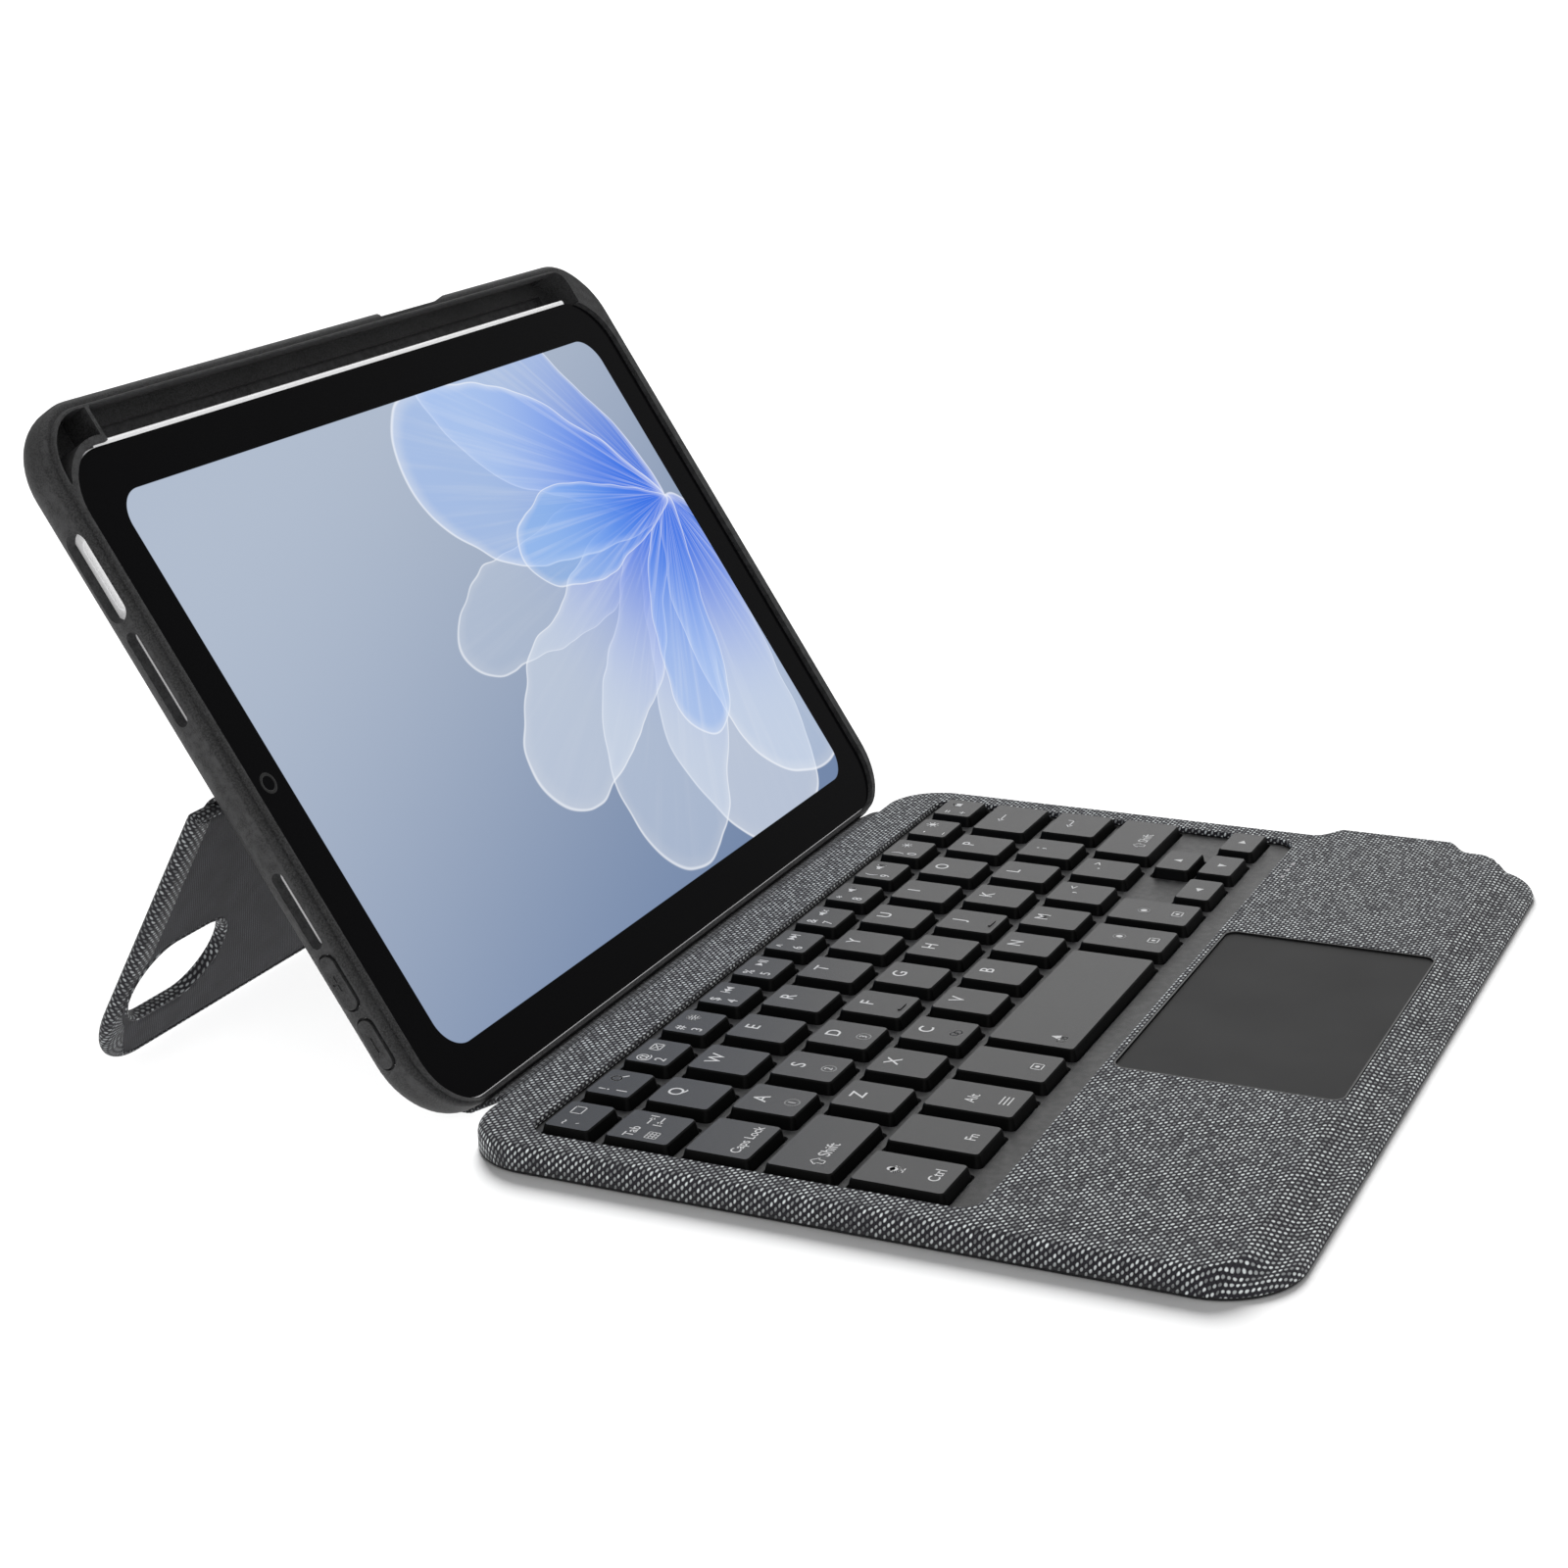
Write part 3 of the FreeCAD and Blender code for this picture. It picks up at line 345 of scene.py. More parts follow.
JOINTS = {joint["name"]: joint for joint in frame["record"]["behaviour"]["joints"]}
FLAT = Matrix.Identity(4)
FLAT_BELOW = Matrix(((-1, 0, 0, 0), (0, 1, 0, 0), (0, 0, -1, 0), (0, 0, 0, 1)))

BASE_LOW, BASE_HIGH = span("base_bottom_cover")
COVER_TOP = span("base_fabric_cover")[1][2]
LEATHER_TOP = BASE_HIGH[2]
FRONT_RADIUS = 15.0
BACK_RADIUS = 13.5
BASE_RADII = (FRONT_RADIUS, FRONT_RADIUS, BACK_RADIUS, BACK_RADIUS)
PLATEAU_RADIUS = 11.5
FLANGE_DEPTH = 6.2
FLANGE_TOP = 2.25
TAB_LOW, TAB_HIGH = span("closing_tab")
PUCKER_HEIGHT = 0.045
PUCKER_PITCH = 1.35
LAMP_WIDTH = 1.8
TAB_ROOT = 4.6

# The shell's own frame: x to the right, u up the screen, n out of the glass.
OUT = Vector(JOINTS["tablet_lift"]["axis"])
UP = Vector((0, OUT.z, -OUT.y))
FOLD_U = -11.0
FOLD_N = -4.6
BASE_FOLD = Vector(JOINTS["base_fold"]["pos_m"]) / MM
SHELL_FOLD = Vector(JOINTS["shell_fold"]["pos_m"]) / MM
SHELL_ORIGIN = SHELL_FOLD - UP * FOLD_U - OUT * FOLD_N
SHELL_LOW = -10.75
SHELL_BACK = -8.6
BACK_ROUND = 5.2
LINING_HALF = 92.6
LINING_SPAN = (-3.33, 121.27)
LINING_FACE = -6.5
CAMERA_WINDOW = (-91.3, -70.2, 97.3, 113.4)


def frame_of(x_axis, y_axis, origin):
    z_axis = x_axis.cross(y_axis)
    turn = Matrix((x_axis, y_axis, z_axis)).transposed().to_4x4()
    return Matrix.Translation(origin) @ turn


RIGHT = Vector((1, 0, 0))
ON_SHELL = frame_of(RIGHT, UP, SHELL_ORIGIN)
ON_SHELL_BACK = frame_of(-RIGHT, UP, SHELL_ORIGIN)
KICK_HINGE = Vector(JOINTS["kickstand_fold"]["pos_m"]) / MM
KICK_ANGLE = radians(-60.7)
ALONG_KICK = Vector((0, cos(KICK_ANGLE), sin(KICK_ANGLE)))
ON_KICK = frame_of(RIGHT, ALONG_KICK, KICK_HINGE)
ON_KICK_INNER = frame_of(-RIGHT, ALONG_KICK, KICK_HINGE)
KICK_HALF = 101.0
KICK_LENGTH = 65.3
KICK_RADIUS = 16.0
KICK_START = 1.6
KICK_EDGE = 1.3
KICK_HINGE_T = 0.7
WINDOW = (-97.1, -69.7, 36.1, 53.6)


# ---- cloth panels ----

def divided(points, step):
    """The same closed outline with points at most a step apart."""
    out = []
    for a, b in zip(points, points[1:] + points[:1]):
        a, b = np.array(a), np.array(b)
        parts = max(1, ceil(np.linalg.norm(b - a) / step - 1e-6))
        out.extend(a + (b - a) * i / parts for i in range(parts))
    return np.array(out)


def rounded(x0, x1, y0, y1, radii, step=1.2):
    """Anticlockwise outline of a rectangle, with a radius for each corner from the front left one."""
    front_left, front_right, back_right, back_left = radii
    corners = ((x0 + front_left, y0 + front_left, front_left, 180),
               (x1 - front_right, y0 + front_right, front_right, 270),
               (x1 - back_right, y1 - back_right, back_right, 0),
               (x0 + back_left, y1 - back_left, back_left, 90))
    points = []
    for x, y, radius, start in corners:
        parts = max(4, ceil(radius * pi / 2 / step))
        for i in range(parts + 1):
            angle = radians(start + 90 * i / parts)
            points.append((x + radius * cos(angle), y + radius * sin(angle)))
    return divided(points, step)


def around(low, high, gap, radius, step):
    """Rounded outline at a gap outside a box."""
    return rounded(low[0] - gap, high[0] + gap, low[1] - gap, high[1] + gap, (radius,) * 4, step)


def pill(x0, x1, y0, y1):
    """Outline of an opening with fully round ends."""
    return rounded(x0, x1, y0, y1, ((y1 - y0) / 2 - 0.01,) * 4, 1.0)


def outward(points):
    ahead = np.roll(points, -1, 0) - points
    ahead /= np.maximum(np.linalg.norm(ahead, axis=1, keepdims=True), 1e-9)
    along = ahead + np.roll(ahead, 1, 0)
    along /= np.linalg.norm(along, axis=1, keepdims=True)
    return np.stack([along[:, 1], -along[:, 0]], 1)


def within(points, outline):
    """Which points lie inside a closed outline."""
    x, y = points[:, 0, None], points[:, 1, None]
    x0, y0 = outline[None, :, 0], outline[None, :, 1]
    x1, y1 = np.roll(x0, -1, 1), np.roll(y0, -1, 1)
    crosses = (y0 > y) != (y1 > y)
    at = x0 + (y - y0) * (x1 - x0) / np.where(y1 == y0, 1e-12, y1 - y0)
    return (crosses & (x < at)).sum(1) % 2 == 1


def gap_to(points, outline):
    return np.sqrt(((points[:, None, :] - outline[None, :, :]) ** 2).sum(2)).min(1)


def smooth(value, low=0.0, high=1.0):
    t = np.clip((value - low) / np.maximum(high - low, 1e-9), 0, 1)
    return t * t * (3 - 2 * t)


def ripple(x, y, size, seed):
    """Smooth low noise between about -1 and 1 at some points."""
    return np.array([noise.noise(Vector((a / size, b / size, seed))) for a, b in zip(x, y)])


def new_piece(name, points, faces, place, finish, cloth=None):
    """Mesh in millimetres on a place, with each point's spot on the flat cloth stored beside it."""
    cloth = [(p[0], p[1], 0) for p in points] if cloth is None else cloth
    mesh = bpy.data.meshes.new(name)
    mesh.from_pydata([place @ Vector(p) * MM for p in points], [], faces)
    stored = mesh.attributes.new("cloth", "FLOAT_VECTOR", "POINT")
    stored.data.foreach_set("vector", np.array(cloth, np.float32).ravel())
    mesh.materials.append(F[finish])
    mesh.shade_smooth()
    mesh.update()
    piece = bpy.data.objects.new(name, mesh)
    SCENE.collection.objects.link(piece)
    return piece


def fix(piece, body):
    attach(piece, body)


def cut_size(piece):
    """Width, length and area of the flat cut in metres, from the place of each point on it."""
    mesh = piece.data
    flat = np.zeros(len(mesh.vertices) * 3, np.float32)
    mesh.attributes["cloth"].data.foreach_get("vector", flat)
    flat = flat.reshape(-1, 3)[:, :2] * MM
    area = 0.0
    for face in mesh.polygons:
        corner = flat[list(face.vertices)]
        after = np.roll(corner, -1, 0)
        area += abs((corner[:, 0] * after[:, 1] - corner[:, 1] * after[:, 0]).sum()) / 2
    size = flat.max(0) - flat.min(0)
    return (float(size[0]), float(size[1])), min(float(area), float(size[0] * size[1]))


def declare(piece, body, nodes=()):
    """A bonded or folded sheet that rides on one body and stands for some soft CAD solids."""
    flat, area = cut_size(piece)
    if nodes:
        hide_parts(*nodes)
    if body:
        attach(piece, body)
    return piece


def edge_of(radius, sweep=90, parts=7):
    """Rounded edge as (inset, drop) from the flat face outward and down."""
    out = []
    for i in range(parts + 1):
        angle = radians(sweep * i / parts)
        out.append((radius * (1 - sin(angle)), radius * (1 - cos(angle))))
    return out


def lattice(x0, x1, y0, y1, step):
    return np.stack(np.meshgrid(np.arange(x0, x1, step), np.arange(y0, y1, step)), -1).reshape(-1, 2)


def panel(name, outline, edge, place, finish, height, spacing, holes=(), hole_edge=(), fine=None, low=None,
          limit=None):
    """Sheet over an outline, its edge and the edges of its openings turned down through (inset, drop) steps.

    height(x, y) is the face. With low, steps of drop None run on down to low(x, y). limit caps the insets
    after the widest part of the edge, one value for each point of the outline.
    """
    loops = [(outline, outward(outline), edge, 1)] + [(h, outward(h), hole_edge, -1) for h in holes]
    starts = [loop - normal * (side * steps[0][0]) for loop, normal, steps, side in loops]
    lowest, highest = outline.min(0), outline.max(0)
    grid = lattice(lowest[0], highest[0], lowest[1], highest[1], spacing)
    if fine:
        x0, x1, y0, y1, step = fine
        inside_fine = (grid[:, 0] > x0) & (grid[:, 0] < x1) & (grid[:, 1] > y0) & (grid[:, 1] < y1)
        grid = np.concatenate([grid[~inside_fine], lattice(x0, x1, y0, y1, step)])
    grid = grid[within(grid, starts[0]) & (gap_to(grid, starts[0]) > 0.45)]
    for start in starts[1:]:
        grid = grid[~within(grid, start) & (gap_to(grid, start) > 0.45)]
    flat = np.concatenate(starts + [grid])
    edges, first = [], 0
    for start in starts:
        count = len(start)
        edges.extend((first + i, first + (i + 1) % count) for i in range(count))
        first += count
    made = delaunay_2d_cdt([Vector(p) for p in flat], edges, [], 0, 1e-6)
    new_index = {old: i for i, olds in enumerate(made[3]) for old in olds}
    flat = np.array([tuple(p) for p in made[0]])
    middles = np.array([flat[list(face)].mean(0) for face in made[2]])
    keep = within(middles, starts[0])
    for start in starts[1:]:
        keep &= ~within(middles, start)
    faces = [tuple(face) for face, kept in zip(made[2], keep) if kept]
    points = [np.column_stack([flat, height(flat[:, 0], flat[:, 1])])]
    cloth = [np.column_stack([flat, np.zeros(len(flat))])]
    total, first = len(flat), 0
    for (loop, normal, steps, side), start in zip(loops, starts):
        count = len(loop)
        ring = [new_index[first + i] for i in range(count)]
        first += count
        travelled = np.zeros(count)
        before = np.column_stack([start, height(start[:, 0], start[:, 1])])
        turned = False
        for inset, drop in steps[1:]:
            turned = turned or inset <= 0.0
            capped = limit is not None and side > 0 and turned
            reach = np.minimum(inset, limit) if capped else np.full(count, inset)
            flat_now = loop - normal * (side * reach)[:, None]
            top = height(flat_now[:, 0], flat_now[:, 1])
            z = top - drop if drop is not None else low(flat_now[:, 0], flat_now[:, 1])
            if low is not None and drop is not None:
                z = np.maximum(z, low(flat_now[:, 0], flat_now[:, 1]) + 0.1)
            now = np.column_stack([flat_now, z])
            travelled = travelled + np.linalg.norm(now - before, axis=1)
            before = now
            points.append(now)
            cloth.append(np.column_stack([start + normal * (side * travelled)[:, None], np.zeros(count)]))
            new_ring = list(range(total, total + count))
            total += count
            for i in range(count):
                j = (i + 1) % count
                quad = (ring[i], new_ring[i], new_ring[j], ring[j])
                faces.append(quad if side > 0 else quad[::-1])
            ring = new_ring
    return new_piece(name, np.concatenate(points), faces, place, finish, np.concatenate(cloth))


def level(z):
    return lambda x, y: np.full(len(x), float(z))


def strip(name, line, half, thickness):
    """Thick ribbon of cloth: a line of (y, z) points swept sideways, with rounded long edges."""
    line = np.array(line)
    ahead = np.gradient(line, axis=0)
    ahead /= np.linalg.norm(ahead, axis=1, keepdims=True)
    normal = np.stack([-ahead[:, 1], ahead[:, 0]], 1)
    run = np.concatenate([[0], np.cumsum(np.linalg.norm(np.diff(line, axis=0), axis=1))])
    inner = np.linspace(-half + thickness, half - thickness, ceil(2 * half / 2.4))
    xs = np.concatenate([[-half, -half + 0.25 * thickness], inner, [half - 0.25 * thickness, half]])
    body = np.ones(len(xs))
    body[[0, -1]] = 0.12
    body[[1, -2]] = 0.75
    points, cloth, faces = [], [], []
    n, m = len(xs), len(line)
    for side in (1, -1):
        for j in range(m):
            for i in range(n):
                t = side * thickness / 2 * body[i]
                points.append((xs[i], line[j, 0] + normal[j, 0] * t, line[j, 1] + normal[j, 1] * t))
                cloth.append((xs[i], run[j], 0.0))
    for j in range(m - 1):
        for i in range(n - 1):
            a = j * n + i
            faces.append((a, a + 1, a + n + 1, a + n))
            b = a + n * m
            faces.append((b, b + n, b + n + 1, b + 1))
    for i in range(n - 1):
        faces.append((i + 1, i, n * m + i, n * m + i + 1))
        last = (m - 1) * n + i
        faces.append((last, last + 1, n * m + last + 1, n * m + last))
    for j in range(m - 1):
        left = j * n
        faces.append((left, left + n, n * m + left + n, n * m + left))
        edge = j * n + n - 1
        faces.append((edge + n, edge, n * m + edge, n * m + edge + n))
    # Ribbons use the darker copy of the woven fabric, which is painted shade.
    return new_piece(name, points, faces, FLAT, "weave_painted_shade", cloth)


# ---- keyboard base ----

def inside_by(x, y, front, front_radius):
    """How far points lie inside the base's rounded outline, with its front edge at some y."""
    back = BASE_HIGH[1]
    radius = np.where(y < (front + back) / 2, front_radius, BACK_RADIUS)
    out_x = np.abs(x - (BASE_LOW[0] + BASE_HIGH[0]) / 2) - ((BASE_HIGH[0] - BASE_LOW[0]) / 2 - radius)
    out_y = np.abs(y - (front + back) / 2) - ((back - front) / 2 - radius)
    corner = np.hypot(np.maximum(out_x, 0), np.maximum(out_y, 0))
    return radius - corner - np.minimum(np.maximum(out_x, out_y), 0)


def tab_share(y):
    """0 beside the closing tab and 1 along it, with soft roots."""
    front, back = TAB_LOW[1], TAB_HIGH[1]
    return smooth(y, front - 2.6, front + 2.6) * (1 - smooth(y, back - 2.6, back + 2.6))


def base_outline():
    points = rounded(BASE_LOW[0], BASE_HIGH[0], BASE_LOW[1], BASE_HIGH[1], BASE_RADII, 1.0)
    on_right = points[:, 0] > BASE_HIGH[0] - 0.01
    points[:, 0] += np.where(on_right, (TAB_HIGH[0] - BASE_HIGH[0]) * tab_share(points[:, 1]), 0)
    return points


def cover_height(x, y):
    """Padded plateau with a thin flexible lip along its front."""
    footprint = inside_by(x, y, BASE_LOW[1], FRONT_RADIUS)
    padded = inside_by(x, y, BASE_LOW[1] + FLANGE_DEPTH, PLATEAU_RADIUS)
    lip = np.clip((footprint - padded) / FLANGE_DEPTH, 0, 1)
    step = np.where(lip < 0.02, 1.0, smooth(padded, -2.6 * lip, 3.4 * lip + 0.02))
    z = FLANGE_TOP + (COVER_TOP - FLANGE_TOP) * step
    z += 0.05 * ripple(x, y, 24.0, 3.0) + (1 - step) * 0.16 * ripple(x, y, 13.0, 7.0)
    # fine puckers where the cloth is drawn round the front left corner
    cx, cy = BASE_LOW[0] + FRONT_RADIUS, BASE_LOW[1] + FRONT_RADIUS
    radius = np.hypot(x - cx, y - cy)
    angle = np.degrees(np.arctan2(cy - y, cx - x))
    drawn = smooth(angle, 12, 40) * (1 - smooth(angle, 62, 92))
    puckered = drawn * smooth(radius, 5.0, 7.5) * (1 - smooth(radius, 11.5, 13.5))
    wave = np.sin(2 * pi * radius / PUCKER_PITCH + 1.3 * ripple(x, y, 5.0, 9.0))
    return z + PUCKER_HEIGHT * puckered * wave


def make_base_cloth():
    lamp_low, lamp_high = span("indicator_lenses")
    plate = around(*span("key_plate"), 0.15, 4.5, 1.2)
    pad = around(*span("trackpad_rim"), 0.05, 2.75, 1.0)
    lamps = []
    pitch = (lamp_high[0] - lamp_low[0] - LAMP_WIDTH) / 2
    for i in range(3):
        x = lamp_low[0] + i * pitch
        lamps.append(around((x, lamp_low[1]), (x + LAMP_WIDTH, lamp_high[1]), 0.1, 0.35, 0.5))

    def low(x, y):
        on_tab = LEATHER_TOP + (TAB_LOW[2] - LEATHER_TOP) * tab_share(y)
        return np.where(x > BASE_HIGH[0] - 1.0, on_tab, LEATHER_TOP)

    edge = [(2.5, 0.0)] + edge_of(1.9, 90, 9) + [(0.0, None), (0.6, None)]
    mouth = [(0.55, 0.0), (0.3, 0.0), (0.12, 0.07), (0.02, 0.22), (0.0, 1.1)]
    corner = (BASE_LOW[0] + 0.5, BASE_LOW[0] + 14.0, BASE_LOW[1] + 0.5, BASE_LOW[1] + 14.0, 0.42)
    cover = panel("base_cloth", base_outline(), edge, FLAT, "weave", cover_height, 1.3,
                  [plate, pad] + lamps, mouth, corner, low)
    declare(cover, "base", ["base_fabric_cover", "closing_tab"])

    footprint = rounded(BASE_LOW[0], BASE_HIGH[0], BASE_LOW[1], BASE_HIGH[1], BASE_RADII)
    under_edge = [(1.2, 0.0)] + edge_of(0.5, 90, 4) + [(0.4, 0.56)]
    under = panel("base_leather", footprint, under_edge, FLAT_BELOW, "leather", level(0.0), 4.0)
    declare(under, "base", ["base_bottom_cover"])

    y = np.arange(TAB_LOW[1] - 3.0, TAB_HIGH[1] + 3.0, 1.0)
    x = BASE_HIGH[0] - 0.4 + (TAB_HIGH[0] - BASE_HIGH[0]) * tab_share(y)
    root = -BASE_HIGH[0] + TAB_ROOT
    tongue = np.concatenate([np.column_stack([-x, y])[::-1], [(root, y[0]), (root, y[-1])]])
    tab_edge = [(0.4, 0.0), (0.15, 0.06), (0.0, 0.3)]
    height = level(-TAB_LOW[2] + 0.05)
    below_tab = panel("tab_leather", tongue[::-1], tab_edge, FLAT_BELOW, "leather", height, 1.5)
    declare(below_tab, "base")


# ---- hinge cloth ----

HINGE_HALF = 86.0
HINGE_T = 1.15


def bowed(points, step=0.5):
    """Smooth line through a few points of a cross-section."""
    points = np.array(points, float)
    padded = np.concatenate([[2 * points[0] - points[1]], points, [2 * points[-1] - points[-2]]])
    out = []
    for i in range(1, len(padded) - 2):
        p0, p1, p2, p3 = padded[i - 1:i + 3]
        parts = max(2, ceil(np.linalg.norm(p2 - p1) / step))
        for t in np.arange(parts) / parts:
            out.append(0.5 * (2 * p1 + (p2 - p0) * t + (2 * p0 - 5 * p1 + 4 * p2 - p3) * t * t
                              + (3 * p1 - p0 - 3 * p2 + p3) * t ** 3))
    out.append(points[-1])
    return np.array(out)


def make_hinge_cloth():
    """One ribbon from the base's back edge to the shell, in two lengths that meet between the folds."""
    back = BASE_HIGH[1]
    middle = BASE_FOLD.lerp(SHELL_FOLD, 0.3)
    first = bowed([(back - 8.8, COVER_TOP - 0.75), (back - 2.4, COVER_TOP - 0.75), (BASE_FOLD.y, BASE_FOLD.z),
                   (middle.y, middle.z)])
    near = strip("hinge_cloth_front", first, HINGE_HALF, HINGE_T)
    declare(near, None, ["hinge_strip"])
    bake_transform(near)

    u_c = SHELL_LOW + BACK_ROUND
    n_c = SHELL_BACK + BACK_ROUND
    reach = BACK_ROUND + HINGE_T / 2 + 0.02
    wrap = []
    for degrees in (24, 40, 58, 76, 90):
        angle = radians(degrees)
        wrap.append((u_c - reach * cos(angle), n_c - reach * sin(angle)))
    wrap.append((u_c + 5, n_c - reach))
    wrap.append((u_c + 13.5, n_c - reach + 0.15))
    path = [(middle.y, middle.z)]
    for u, n in wrap:
        at = SHELL_ORIGIN + UP * u + OUT * n
        path.append((at.y, at.z))
    second = bowed(path)
    far = strip("hinge_cloth_back", second, HINGE_HALF, HINGE_T)
    declare(far, None, ["hinge_tail"])
    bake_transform(far)


# ---- kickstand ----

def make_kickstand_cloth():
    radius = KICK_EDGE
    outline = rounded(-KICK_HALF, KICK_HALF, KICK_START, KICK_LENGTH, (1.2, 1.2, KICK_RADIUS, KICK_RADIUS))
    x0, x1, y0, y1 = WINDOW
    window = pill(*WINDOW)
    spare = np.maximum(gap_to(outline, window) - 1.9, 1.6)
    facing = outward(outline)
    border = np.minimum(1.5 + 3.4 * smooth(np.abs(facing[:, 0]), 0.25, 0.95), spare)
    deep = 2 * radius
    wrapped = [(2.2, 0.0)] + edge_of(radius, 180, 12)
    wrapped += [(3.0, deep), (6.3, deep), (6.6, deep - 0.12), (6.6, deep - 0.4)]
    rim = [(1.0, 0.0), (0.6, 0.0), (0.35, 0.08), (0.12, 0.3), (0.0, 0.7), (0.0, deep - 0.6),
           (0.15, deep - 0.2), (0.45, deep - 0.02), (0.8, deep), (1.05, deep - 0.12), (1.1, deep - 0.4)]
    # The kickstand's outer cloth uses the darker woven copy: painted shade.
    stand = panel("kickstand_cloth", outline, wrapped, ON_KICK, "weave_painted_shade",
                  lambda x, y: radius + 0.06 * ripple(x, y, 30.0, 2.0), 2.0, [window], rim, limit=border)
    declare(stand, "kickstand", ["kickstand_outer_fabric"])

    inner_outline = rounded(-KICK_HALF + 1.1, KICK_HALF - 1.1, KICK_START + 1.1, KICK_LENGTH - 1.1,
                            (0.8, 0.8, KICK_RADIUS - 1.1, KICK_RADIUS - 1.1))
    inner_window = pill(-x1 - 0.6, -x0 + 0.6, y0 - 0.6, y1 + 0.6)
    edge = [(0.3, 0.0), (0.0, 0.2)]
    lining = panel("kickstand_twill", inner_outline, edge, ON_KICK_INNER, "twill",
                   lambda x, y: 1.14 + 0.05 * ripple(x, y, 18.0, 5.0), 2.0, [inner_window], edge)
    declare(lining, "kickstand", ["kickstand_lining"])

    half = span("kickstand_anchor_band")[1][0]
    hinge_u = (KICK_HINGE - SHELL_ORIGIN).dot(UP)
    path = []
    for below, behind in ((10, 0.38), (5, 0.4), (1.4, 0.6)):
        at = SHELL_ORIGIN + UP * (hinge_u - below) + OUT * (SHELL_BACK - behind)
        path.append((at.y, at.z))
    upper = Vector((0, -ALONG_KICK.z, ALONG_KICK.y))
    for along, above in ((0.6, 0.45), (3.0, 1.3), (7.0, 1.55)):
        at = KICK_HINGE + ALONG_KICK * along + upper * above
        path.append((at.y, at.z))
    band = strip("kickstand_hinge_cloth", bowed(path), half, KICK_HINGE_T)
    declare(band, None, ["kickstand_anchor_band"])
    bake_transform(band)


def make_shell_cloth():
    x0, x1, u0, u1 = CAMERA_WINDOW
    outline = rounded(-LINING_HALF, LINING_HALF, *LINING_SPAN, (8.9,) * 4, 1.5)
    back_window = pill(-x1, -x0, u0, u1)
    edge = [(0.4, 0.0), (0.15, 0.04), (0.0, 0.15)]
    # The shell's back cloth uses the darker woven copy: painted shade.
    back = panel("shell_back_cloth", outline, edge, ON_SHELL_BACK, "weave_painted_shade",
                 lambda x, y: -SHELL_BACK + 0.04 + 0.03 * ripple(x, y, 25.0, 4.0), 3.0, [back_window], edge)
    declare(back, "shell", ["shell_back_fabric"])
    face = level(LINING_FACE)
    suede = panel("shell_suede", outline, edge, ON_SHELL, "suede", face, 4.0, [pill(*CAMERA_WINDOW)], edge)
    declare(suede, "shell", ["shell_lining"])


make_base_cloth()
make_hinge_cloth()
make_kickstand_cloth()
make_shell_cloth()


# ---- tablet screen ----

DISPLAY_W = 176.54
DISPLAY_H = 115.94


